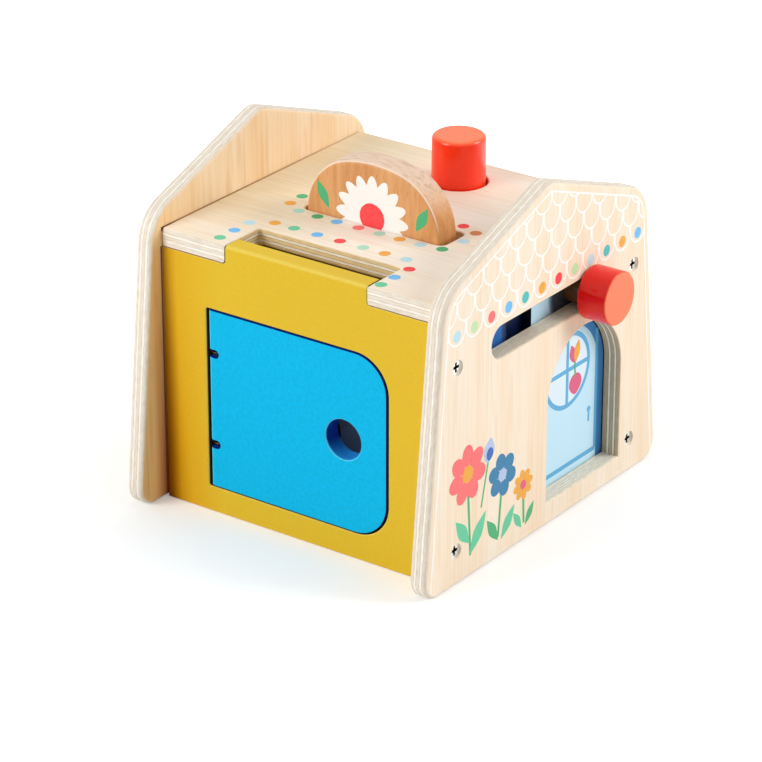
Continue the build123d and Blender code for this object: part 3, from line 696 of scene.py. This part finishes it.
def printed_board(name, face_axis, base, deep, edge="#5A4636"):
    """Thin fibreboard with a printed and varnished sheet on it: flat colour, soft sheen, and
    sawn edges that stay dark."""
    material, tree, shader = new_finish(name, 0.42, Specular_IOR_Level=0.3)
    place, _, facing = surface(tree)
    square = add_node(
        tree, "ShaderNodeMath", {0: facing[face_axis]}, operation="ABSOLUTE"
    ).outputs[0]
    on_face = add_node(
        tree, "ShaderNodeMath", {0: square, 1: 0.7}, operation="GREATER_THAN"
    ).outputs[0]
    fibre = add_node(
        tree, "ShaderNodeTexNoise", {"Vector": place, "Scale": 900.0, "Detail": 3.0}
    ).outputs["Fac"]
    sheet = add_node(
        tree, "ShaderNodeValToRGB", {0: fibre}, stops=[(0.3, deep), (0.7, base)]
    ).outputs[0]
    colour = add_node(
        tree, "ShaderNodeMix", {0: on_face, 6: linear(edge), 7: sheet}, data_type="RGBA"
    ).outputs[2]
    tree.links.new(colour, shader.inputs["Base Color"])
    return material


def zinc_steel(name, colour, roughness, recess=None):
    """Zinc-plated steel, drawn or cold headed: a pale grey metal with faint draw marks.

    recess is the distance from the middle plane below which a head's cross recess is
    painted dark as shade.
    """
    material, tree, shader = new_finish(name, roughness, Metallic=1.0)
    place = add_node(tree, "ShaderNodeTexCoord").outputs["Object"]
    marks = add_node(
        tree, "ShaderNodeTexNoise", {"Vector": place, "Scale": 800.0, "Detail": 3.0}
    ).outputs["Fac"]
    tint = add_node(
        tree, "ShaderNodeValToRGB", {0: marks}, stops=[(0.2, "#B4B5B8"), (0.5, colour)]
    ).outputs[0]
    # Painted shade in the cross recess
    if recess:
        parts = add_node(tree, "ShaderNodeSeparateXYZ", {0: place}).outputs
        out = add_node(tree, "ShaderNodeMath", {0: parts["X"]}, operation="ABSOLUTE").outputs[0]
        unshaded = add_node(
            tree,
            "ShaderNodeMapRange",
            {"Value": out, "From Min": recess - RECESS_FADE, "From Max": recess},
        ).outputs[0]
        tint = add_node(
            tree, "ShaderNodeMix", {0: unshaded, 6: linear("#1C1A19"), 7: tint}, data_type="RGBA"
        ).outputs[2]
    tree.links.new(tint, shader.inputs["Base Color"])
    return material


def shaded_hinge_steel():
    """Steel wire with rusty mottling and a soft metal shine, painted dark as the shade in the hinge
    notches.
    """
    material, tree, shader = new_finish("shaded_hinge_steel", 0.45, Metallic=1.0)
    place = add_node(tree, "ShaderNodeTexCoord").outputs["Object"]
    mottle = add_node(
        tree, "ShaderNodeTexNoise", {"Vector": place, "Scale": 1200.0, "Detail": 3.0}
    ).outputs["Fac"]
    tint = add_node(
        tree, "ShaderNodeValToRGB", {0: mottle}, stops=[(0.35, "#2A211C"), (0.65, "#4A3F38")]
    ).outputs[0]
    tree.links.new(tint, shader.inputs["Base Color"])
    return material


def screen_ink(name, colour):
    """Screen-print ink: opaque and nearly matt, a little thinner where the mesh lifted."""
    material, tree, shader = new_finish("ink_" + name, 0.5, Specular_IOR_Level=0.2)
    place = add_node(tree, "ShaderNodeTexCoord").outputs["Object"]
    cover = add_node(
        tree, "ShaderNodeTexNoise", {"Vector": place, "Scale": 1300.0, "Detail": 2.0}
    ).outputs["Fac"]
    pale = add_node(
        tree, "ShaderNodeMix", {0: 0.1, 6: linear(colour), 7: linear("#FFFFFF")}, data_type="RGBA"
    ).outputs[2]
    mottled = add_node(
        tree, "ShaderNodeMix", {0: cover, 6: linear(colour), 7: pale}, data_type="RGBA"
    ).outputs[2]
    tree.links.new(mottled, shader.inputs["Base Color"])
    return material


# Finishes of the CAD pieces
def wear(material, *names):
    """Gives CAD nodes their finish."""
    for name in names:
        nodes[name].data.materials.clear()
        nodes[name].data.materials.append(material)


gable_thickness = right_high.x - right_low.x
cream_veneer = ("#FDEFDC", "#FBE5C9", "#F6DBB9")
# The left gable's warmer veneer is partly painted shade and bounce light on its inner face
honey_veneer = ("#FAE3C0", "#F6D6A8", "#E8BF8A")
deck_veneer = ("#FEF5E8", "#FCEDD9", "#F7E3C8")
wear(
    birch_plywood(
        "birch_right_gable",
        "X",
        "Z",
        right_low.x,
        gable_thickness,
        cream_veneer,
        printed_side=1,
        shaded_cuts=(SHADED_GABLE_PLIES, *GABLE_OPENINGS),
        shaded_seams=(DECK_SEAM_SHADE,),
    ),
    "right_gable",
)
wear(
    birch_plywood(
        "birch_left_gable",
        "X",
        "Z",
        left_low.x,
        gable_thickness,
        honey_veneer,
        printed_side=-1,
        shaded_seams=(DECK_SEAM_SHADE, PANEL_SEAM_SHADE),
        # Painted shade and bounce light: the inner face warms towards its front edge and darkens in the
        # corner with the front panel, most low down
        tints_and_shade=(
            ("#FFEDCC", ("Y", -62 * MM, -76 * MM)),
            (
                "#B07040",
                ("Y", panel_low.y - CORNER_REACH, panel_low.y),
                ("Z", deck_low.z, CORNER_FOOT),
            ),
        ),
    ),
    "left_gable",
)
wear(
    birch_plywood(
        "birch_deck",
        "Z",
        "X",
        deck_low.z,
        deck_high.z - deck_low.z,
        deck_veneer,
        shaded_cuts=(SHADED_DECK_PLIES, *DECK_OPENINGS),
        shaded_seams=(DECK_FOOT_SHADOW,),
        tints_and_shade=(
            ("#FBF8F2", ("X", 24 * MM, -62 * MM)),
            ("#F6F2E2", ("X", -10 * MM, -52 * MM), ("Y", -60 * MM, -35 * MM)),
        ),
    ),
    "deck",
)
base_low, base_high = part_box("base_board")
wear(
    birch_plywood("birch_base", "Z", "X", base_low.z, base_high.z - base_low.z, honey_veneer),
    "base_board",
)
above_deck = (("Z", deck_low.z + 50 * MM, 50 * MM),)
finger_hole = (
    ("X", door_high.x - FINGER_HOLE_INSET, FINGER_HOLE_REACH),
    ("Z", (door_low.z + door_high.z) / 2, FINGER_HOLE_REACH),
)
# Enamel tones: colour, painted highlight on the arris, painted light on upward edges, painted shade on
# the walls of cuts, peel mottle, and the box of the lit edges
yellow_tones = ("#E1BB30", "#EDCF58", "#E6C340", "#4A3410", "#FBFBFB", above_deck)
blue = sprayed_enamel(
    "blue_enamel", "#04BBEC", "#5CD3F7", "#2CA4FC", "#0A3FA8", "#F1F1F1", finger_hole
)
wear(sprayed_enamel("yellow_front_enamel", *yellow_tones, gold="#DC9C04"), "front_panel")
wear(sprayed_enamel("yellow_enamel", *yellow_tones), "rear_panel", "door_stop")
wear(blue, "door_leaf")
# The knob's side is a deeper red than the peg's, which is painted shade: the house shades the knob from
# the left
wear(red_lacquer("peg_lacquer", "Z", "#FF3614"), "push_peg")
wear(
    red_lacquer("knob_lacquer", "X", "#F60A05", bare_below=right_high.x + KNOB_STANDOFF), "knob"
)
# Rim tones: end grain with painted light, and a painted highlight on the arris
plaque_rim = ("#D8B698", "#EACCB4", "#F6DEC6")
hidden_beech = ("#E0AE78", "#D39C62")
wear(solid_beech("beech_plaque", "Z", "#E1A870", "#D8995C", rim=plaque_rim), "plaque")
wear(
    solid_beech("beech_upright", "Z", *hidden_beech),
    "left_rocker_bracket",
    "right_rocker_bracket",
)
wear(
    solid_beech("beech_level", "X", *hidden_beech),
    "front_plaque_guide",
    "rear_plaque_guide",
    "peg_collar",
    "peg_guide",
    "deck_dowels",
    "base_dowels",
)
wear(solid_beech("beech_rocker", "Y", *hidden_beech), "rocker")
# The shutter's edges are painted near black, as shade in the slot
wear(printed_board("printed_board_sky", "X", "#C6ECFF", "#BFE8FC", edge="#10182A"), "shutter")
wear(printed_board("printed_board_rose", "Y", "#E9D7E4", "#DFC9DA"), "divider")
wear(printed_board("printed_board_night", "X", "#0A1E48", "#08183C"), "window_backing")
gable_screws_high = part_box("right_gable_screws")[1]
wear(
    zinc_steel("zinc_gable_screws", "#FDFDFC", 0.35, recess=gable_screws_high.x - RECESS_RIM),
    "right_gable_screws",
    "left_gable_screws",
)
wear(
    zinc_steel("zinc_screws", "#C9CACC", 0.34),
    "bracket_screws",
    "collar_screws",
    "knob_screw",
)
wear(zinc_steel("bright_steel", "#D4D5D8", 0.22), "rocker_axle", "rocker_washers")
wear(shaded_hinge_steel(), "hinge_rod", "hinge_eyes")

# Painted shadow of the knob: rings of ink by which the shutter darkens towards the knob:
# tones, outer size and step
KNOB_SHADOW = "#ACD6EC #8BB4CC #7099B1 #587F97 #41657C #2B4B61 #17334A #0B2338".split()
KNOB_SHADOW_SIZE = 36.5
KNOB_SHADOW_STEP = 1.1

# Strips of ink by which the night turns blue at the front end of the slot: tones, the place
# on Y where they start, and their step
DUSK_FADE = "#09264F #083568 #074884 #0560AC #007CD8".split()
DUSK_FADE_START = -11.5
DUSK_FADE_STEP = 0.9

INKS = {
    name: screen_ink(name, colour)
    for name, colour in {
        "white": "#FCFAF7",
        "pale_blue": "#BDE4F0",
        "light_green": "#C4E7AE",
        "mint": "#A9DFC6",
        "coral": "#FC6C6C",
        "red": "#F8303A",
        "sky": "#68BEF6",
        "teal": "#38C0BE",
        "green": "#5CCB9C",
        "leaf": "#38B070",
        "amber": "#F3A828",
        "tan": "#D4792A",
        "navy": "#1D5FB2",
        "petrol": "#1479A8",
        "mist": "#B4C6EA",
        "rose": "#E0567F",
        "frame_blue": "#55AFE0",
        "border_blue": "#1B86D2",
        "panel_sky": "#C6ECFF",
        "glass": "#E2F4FF",
        "night": "#06203F",
        **{"dusk_%d" % k: colour for k, colour in enumerate(DUSK_FADE)},
        **{"knob_shadow_%d" % k: colour for k, colour in enumerate(KNOB_SHADOW)},
        "plum": "#2A1540",
        "pale_lilac": "#E6DCF8",
    }.items()
}


def lone():
    """Clears the selection, so that a new primitive is worked on alone."""
    bpy.ops.object.select_all(action="DESELECT")


def drawn_up():
    """The new flat shape, drawn up by 1, with its faces turned outwards."""
    bpy.ops.object.mode_set(mode="EDIT")
    bpy.ops.mesh.select_all(action="SELECT")
    bpy.ops.mesh.extrude_region_move(TRANSFORM_OT_translate={"value": (0, 0, 1)})
    bpy.ops.mesh.select_all(action="SELECT")
    bpy.ops.mesh.normals_make_consistent(inside=False)
    bpy.ops.object.mode_set(mode="OBJECT")
    return bpy.context.object


def set_down(shape, ink, x, y, width, height, turn, layer):
    """Inks a shape of size 1, and gives it its size, turn and place in millimetres."""
    shape.data.materials.append(INKS[ink])
    shape.data.transform(
        Matrix.Translation((x, y, 0))
        @ Matrix.Rotation(math.radians(turn), 4, "Z")
        @ Matrix.Diagonal((width, height, INK_FILM * (1 + layer), 1))
    )


def patch(ink, x, y, width, height, turn=0, layer=0, points=28, tip=0.0, foot=0.0, ground=None):
    """One patch of ink in millimetres: an oval, drawn in towards its top and foot, and cut off
    level at ground."""
    lone()
    bpy.ops.mesh.primitive_circle_add(vertices=points, radius=0.5, fill_type="NGON")
    shape = drawn_up()
    for vertex in shape.data.vertices:
        up = 2 * vertex.co.y
        vertex.co.x *= 1 - tip * max(up, 0) ** 1.5 - foot * max(-up, 0) ** 1.5
    set_down(shape, ink, x, y, width, height, turn, layer)
    if ground is not None:
        for vertex in shape.data.vertices:
            vertex.co.y = max(vertex.co.y, ground)
    return shape


def bar(ink, x, y, width, height, turn=0, layer=0):
    """A straight stroke of ink in millimetres, about its middle."""
    lone()
    bpy.ops.mesh.primitive_plane_add(size=1)
    shape = drawn_up()
    set_down(shape, ink, x, y, width, height, turn, layer)
    return shape


def flower(x, y, size, petals, petal_ink, eye_ink, layer=0, turn=0):
    """A round flower of separate petals with an eye, each patch at its own height."""
    reach = size * 0.31
    shapes = []
    for k in range(petals):
        angle = turn + 360 * k / petals
        px = x - reach * math.sin(math.radians(angle))
        py = y + reach * math.cos(math.radians(angle))
        width, length = size * 2.2 / petals, size * 0.42
        height = layer + 0.25 * k
        shapes.append(patch(petal_ink, px, py, width, length, angle, height, points=20, foot=0.6))
    shapes.append(patch(eye_ink, x, y, size * 0.3, size * 0.3, layer=layer + 2.5, points=24))
    return shapes


def lay_print(name, shapes, plane, body):
    """Joins patches into one print and lays it on its board. plane is (origin, right, up)."""
    lone()
    for shape in shapes:
        shape.select_set(True)
    bpy.context.view_layer.objects.active = shapes[0]
    bpy.ops.object.join()
    piece = bpy.context.object
    piece.name = name
    piece.data.name = name
    origin, right, up = (Vector(v) for v in plane)
    out = right.cross(up)
    turn = Matrix((right, up, out)).transposed().to_4x4()
    piece.data.transform(Matrix.Translation(origin) @ turn @ Matrix.Scale(MM, 4))
    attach(piece, body)
    return piece


# Planes of the printed faces: local x to the right as one looks at the face, local y up
right_face = ((right_high.x, 0, 0), (0, 1, 0), (0, 0, 1))
left_face = ((left_low.x, 0, 0), (0, -1, 0), (0, 0, 1))
deck_face = ((0, 0, deck_high.z), (1, 0, 0), (0, 1, 0))
plaque_face = ((0, plaque_low.y, 0), (1, 0, 0), (0, 0, 1))
shutter_face = ((shutter_high.x, 0, 0), (0, 1, 0), (0, 0, 1))
backing_face = ((backing_high.x, 0, 0), (0, 1, 0), (0, 0, 1))
divider_face = ((0, divider_low.y, 0), (1, 0, 0), (0, 0, 1))

# Dots under the roof tiles
GABLE_DOTS = (
    "pale_blue light_green coral sky teal amber red light_green pale_blue teal amber sky"
).split()
for name, plane, body_side in (
    ("right_gable_dots", right_face, 1),
    ("left_gable_dots", left_face, -1),
):
    dots = [
        patch(ink, body_side * (TILE_START_Y + TILE_PITCH * k), DOT_HEIGHT, DOT_SIZE, DOT_SIZE)
        for k, ink in enumerate(GABLE_DOTS)
    ]
    lay_print(name, dots, plane, "root")

# Dots round the posting slot, then round the plaque's slot
DECK_DOTS = (
    ("green", -44.3, -65.6),
    ("sky", -44.3, -55.6),
    ("pale_blue", -44.3, -45.2),
    ("amber", -35.3, -39.0),
    ("green", -25.0, -39.0),
    ("sky", -12.7, -39.0),
    ("red", -0.7, -39.0),
    ("mint", 11.5, -39.0),
    ("amber", 22.7, -39.0),
    ("pale_blue", 33.8, -39.0),
    ("red", 40.8, -46.7),
    ("sky", 40.8, -57.2),
    ("green", 40.8, -66.7),
    ("leaf", -44.3, -7.7),
    ("amber", -43.7, -17.0),
    ("mint", -35.3, -22.1),
    ("leaf", -24.9, -22.5),
    ("sky", -14.6, -22.5),
    ("coral", -3.1, -22.5),
    ("mint", 8.0, -22.5),
    ("amber", 18.5, -22.5),
    ("pale_blue", 29.3, -22.5),
    ("leaf", 39.5, -21.0),
    ("pale_blue", 42.1, -8.8),
    ("tan", 41.0, 1.8),
    ("red", 32.2, 5.2),
    ("pale_blue", 21.4, 5.4),
    ("sky", 10.6, 5.4),
    ("green", -0.2, 5.4),
    ("amber", -11.0, 5.4),
    ("mint", -21.8, 5.4),
    ("coral", -32.6, 5.2),
    ("sky", -41.5, 1.9),
)
lay_print(
    "deck_dots", [patch(ink, x, y, DOT_SIZE, DOT_SIZE) for ink, x, y in DECK_DOTS], deck_face, "root"
)

# Garden on the right gable: three flowers, leaves and a bud
garden = []
for x, y, length, turn in ((-58, 27, 34, 4), (-35, 22, 24, -6), (-17, 17, 16, 3)):
    garden.append(bar("leaf", x, y, 1.5, length, turn))
for k, (x, y, width, height, turn, ink) in enumerate(
    (
        (-62.8, 23.0, 6.5, 17, 36, "green"),
        (-51.5, 18.5, 7, 20, -36, "green"),
        (-40.5, 15, 5.5, 15, 34, "leaf"),
        (-29, 14.5, 6, 16, -38, "green"),
        (-21.5, 12, 4.2, 11, 34, "green"),
        (-12.3, 12, 4.2, 11, -36, "leaf"),
    )
):
    garden.append(patch(ink, x, y, width, height, turn, 1 + 0.3 * k, tip=0.75, foot=0.75))
garden += flower(-59.5, 49, 26, 7, "coral", "amber", layer=2)
garden += flower(-33.5, 38.5, 20, 6, "petrol", "mist", layer=2, turn=12)
garden += flower(-17.5, 27.5, 14, 8, "amber", "rose", layer=2, turn=8)
garden += [
    bar("leaf", -46.5, 40, 1.1, 22, turn=-14, layer=0.3),
    patch("mist", -43.6, 54, 8, 11, turn=-14, layer=1, tip=0.6, foot=0.2),
    patch("navy", -43.2, 52.0, 5, 6, turn=-14, layer=2, points=24, foot=0.3),
]
lay_print("garden_print", garden, right_face, "root")

# Daisy on the plaque, half risen over the deck at rest
DAISY_PETALS = 16
PETAL_REACH = 11.5
daisy = []
daisy_x = (plaque_low.x + plaque_high.x) / 2 / MM
daisy_z = deck_high.z / MM + 4.0
for k in range(DAISY_PETALS):
    angle = 360 / DAISY_PETALS * k
    daisy.append(
        patch(
            "white",
            daisy_x - PETAL_REACH * math.sin(math.radians(angle)),
            daisy_z + PETAL_REACH * math.cos(math.radians(angle)),
            6.2,
            15,
            turn=angle,
            layer=0.25 * k,
            tip=0.1,
            foot=0.35,
        )
    )
daisy.append(patch("red", daisy_x, daisy_z, 13, 13, layer=4.2, points=36))
for side in (-1, 1):
    daisy.append(
        patch("leaf", daisy_x + side * 26, daisy_z + 5, 5, 13, side * -28, tip=0.7, foot=0.7)
    )
lay_print("daisy_print", daisy, plaque_face, "plaque")

# Window painted on the shutter, a little off its middle, with a flower pot, and a painted
# shadow round the knob in dark rings
WINDOW_SHIFT = 1.8
shutter_y = (shutter_low.y + shutter_high.y) / 2 / MM - WINDOW_SHIFT
frame_y = shutter_y - 1
knob_low, knob_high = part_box("knob")
knob_y = (knob_low.y + knob_high.y) / 2 / MM
knob_z = (knob_low.z + knob_high.z) / 2 / MM
window_print = []
# The dark night arch shows as a strip along the window's rear jamb: a painted shadow. The blue border
# inside it is print.
for ink, y, width, layer in (
    ("night", 31.2, 61.0, 0),
    ("border_blue", 29.6, 57.8, 0.8),
    ("panel_sky", 27.4, 52.6, 1.6),
):
    window_print.append(bar(ink, y, 30.0, width, 52.0, layer=layer))
    window_print.append(patch(ink, y, 56.0, width, width, layer=layer + 0.3, points=64))
for side in (-1, 1):
    window_print.append(bar("frame_blue", frame_y + side * 24.4, 44, 2.0, 58, layer=2.4))
window_print += [
    bar("frame_blue", frame_y, 15, 49.0, 2.2, layer=2.8),
    patch("frame_blue", shutter_y, 61, 36, 36, layer=3, points=48),
    patch("glass", shutter_y, 61, 31.6, 31.6, layer=3.6, points=48),
    bar("frame_blue", shutter_y, 61, 2.0, 34, layer=6),
    bar("frame_blue", shutter_y, 61, 34, 2.0, layer=6.5),
    patch("rose", shutter_y + 6.5, 52.5, 10, 10, layer=5.0, points=32, foot=0.35),
    bar("leaf", shutter_y + 6.0, 60, 1.0, 8, turn=4, layer=7.0),
]
for ink, y, z, width, height, turn, layer in (
    ("rose", 4.0, 67.5, 5, 9, 16, 7.4),
    ("amber", 7.4, 68.0, 4.6, 10, -14, 7.8),
):
    window_print.append(
        patch(ink, shutter_y + y, z, width, height, turn, layer, points=24, tip=0.6, foot=0.3)
    )
# Painted shadow of the knob, in rings that darken towards it
for k in range(len(KNOB_SHADOW)):
    size = KNOB_SHADOW_SIZE - KNOB_SHADOW_STEP * k
    window_print.append(
        patch("knob_shadow_%d" % k, knob_y, knob_z, size, size, layer=0.3 + 0.3 * k, points=48)
    )
window_print += [
    patch("frame_blue", shutter_y + 18, 36, 2.8, 2.8, layer=2.4, points=20),
    bar("frame_blue", shutter_y + 18, 33, 1.4, 6, layer=2.8),
]
lay_print("window_print", window_print, shutter_face, "shutter")

# Night sky on the board behind the shutter: moon, stars, and dusk at the slot's front end
dusk_left = backing_low.y / MM + 1.0
night = [patch("glass", 42, 66, 13, 13, points=40)]
for k in range(len(DUSK_FADE)):
    dusk_right = DUSK_FADE_START - DUSK_FADE_STEP * k
    middle, width = (dusk_left + dusk_right) / 2, dusk_right - dusk_left
    night.append(bar("dusk_%d" % k, middle, 90, width, 34, layer=0.5 * k))
for y, z, size in ((12, 68, 4.5), (25, 76, 3.5), (24, 52, 5), (50, 44, 4), (37, 33, 3.5), (13, 33, 4.5)):
    night += flower(y, z, size, 5, "pale_blue", "glass")
lay_print("night_print", night, backing_face, "root")

# Meadow on the picture board behind the door, with lilac petals behind the finger hole
ground = divider_low.z / MM + 0.5
meadow_end = divider_high.x / MM - 1.0
meadow = [
    patch("green", -20, 14, 90, 26, points=40, ground=ground),
    patch("leaf", meadow_end - 33, 12, 66, 20, layer=1, points=40, ground=ground),
]
for x, z, size, ink in (
    (-30, 44, 22, "rose"),
    (-4, 70, 18, "sky"),
    (32, 58, 18, "white"),
    (-12, 90, 13, "amber"),
):
    meadow.append(bar("leaf", x, z / 2 + 6, 1.4, z - 12, layer=2))
    meadow += flower(x, z, size, 6, ink, "red", layer=3)
for ink, x, z, width, height, turn, layer, tip, foot in (
    ("pale_lilac", 14.0, 39, 18, 26, -12, 2.5, 0.4, 0.1),
    ("plum", -1.0, 38, 12, 22, -24, 3.5, 0.5, 0.3),
):
    meadow.append(patch(ink, x, z, width, height, turn, layer, points=36, tip=tip, foot=foot))
lay_print("meadow_print", meadow, divider_face, "root")

# Floor, light and world
FLOOR_SIZE = 6
FLOOR_DROP = 0.2 * MM
lone()
bpy.ops.mesh.primitive_plane_add(size=FLOOR_SIZE, location=(0, 0, -FLOOR_DROP))
floor = bpy.context.object
floor.name = "studio_floor"


def plain_view(tree):
    """A mask that is 1 for what the lens, gloss and glass see, and 0 for what lights matt
    surfaces."""
    rays = add_node(tree, "ShaderNodeLightPath").outputs
    seen = rays["Is Camera Ray"]
    for ray in ("Is Glossy Ray", "Is Transmission Ray"):
        seen = add_node(
            tree, "ShaderNodeMath", {0: seen, 1: rays[ray]}, operation="MAXIMUM"
        ).outputs[0]
    return seen


def studio_white():
    """A white paper sweep: it takes shadows near the house, and its glow, which only the lens,
    gloss and glass see, grows with the distance, so that the rest of it is plain white."""
    material, tree, shader = new_finish("studio_paper", 0.9, Specular_IOR_Level=0.0)
    shader.inputs["Base Color"].default_value = linear("#F2F2F2")
    place = add_node(tree, "ShaderNodeTexCoord").outputs["Object"]
    away = add_node(tree, "ShaderNodeVectorMath", {0: place}, operation="LENGTH").outputs["Value"]
    (near, near_glow), (far, far_glow) = GLOW_NEAR, GLOW_FAR
    glow = add_node(
        tree,
        "ShaderNodeMapRange",
        {
            "Value": away,
            "From Min": near,
            "From Max": far,
            "To Min": near_glow,
            "To Max": far_glow,
        },
    ).outputs[0]
    strength = add_node(
        tree, "ShaderNodeMath", {0: plain_view(tree), 1: glow}, operation="MULTIPLY"
    ).outputs[0]
    shader.inputs["Emission Color"].default_value = (1, 1, 1, 1)
    tree.links.new(strength, shader.inputs["Emission Strength"])
    return material


# Glow of the floor, as (distance in metres from the house's middle, strength)
GLOW_NEAR = (0.1, 0.24)
GLOW_FAR = (0.42, 1.0)
floor.data.materials.append(studio_white())

# The room: fill light for matt surfaces, and plain white in the lens and in reflections
ROOM_FILL = 0.30
world = bpy.data.worlds.new("studio")
bpy.context.scene.world = world
world.use_nodes = True
sky_tree = world.node_tree
sky = sky_tree.nodes["Background"]
sky.inputs["Color"].default_value = (1, 1, 1, 1)
sky_tree.links.new(
    add_node(
        sky_tree,
        "ShaderNodeMapRange",
        {"Value": plain_view(sky_tree), "To Min": ROOM_FILL, "To Max": 1.0},
    ).outputs[0],
    sky.inputs["Strength"],
)

# Point at which all the lamps are aimed
LAMP_AIM = (0, 0, 70 * MM)


def softbox(name, place, size, power):
    """An area lamp that points at the house. place and size are in metres, power in watts."""
    data = bpy.data.lights.new(name, "AREA")
    data.shape = "RECTANGLE"
    data.size, data.size_y = size
    data.energy = power
    lamp = bpy.data.objects.new(name, data)
    bpy.context.scene.collection.objects.link(lamp)
    lamp.location = place
    aim = Vector(LAMP_AIM) - Vector(place)
    lamp.rotation_euler = aim.to_track_quat("-Z", "Y").to_euler()
    return lamp


softbox("softbox_right", place=(1.27, 0.79, 0.87), size=(0.8, 0.8), power=16.0)
softbox("softbox_left", place=(-0.72, -1.36, 0.79), size=(0.8, 0.8), power=17.5)
softbox("softbox_top", place=(0.0, 0.3, 1.6), size=(1.2, 1.2), power=5.9)

# Camera, from the photograph's own perspective
IMAGE_WIDTH = 762
FOCAL_PIXELS = 3643.465
SENSOR_WIDTH = 36
azimuth, elevation = math.radians(35.885), math.radians(24.700)
lens_target = Vector((0, 0, 60 * MM))
lens_shift_right, lens_shift_up, lens_distance = -6.064 * MM, -10.902 * MM, 1597.351 * MM
camera_data = bpy.data.cameras.new("camera")
camera = bpy.data.objects.new("camera", camera_data)
bpy.context.scene.collection.objects.link(camera)
back = Vector(
    (
        math.sin(azimuth) * math.cos(elevation),
        -math.cos(azimuth) * math.cos(elevation),
        math.sin(elevation),
    )
)
right = Vector((math.cos(azimuth), math.sin(azimuth), 0))
up = back.cross(right)
camera.location = lens_target + right * lens_shift_right + up * lens_shift_up + back * lens_distance
camera.rotation_euler = Matrix((right, up, back)).transposed().to_euler()
camera_data.sensor_width = SENSOR_WIDTH
camera_data.lens = SENSOR_WIDTH * FOCAL_PIXELS / IMAGE_WIDTH
camera_data.clip_start, camera_data.clip_end = 0.05, 20
bpy.context.scene.camera = camera

bpy.context.scene.view_settings.view_transform = "Standard"
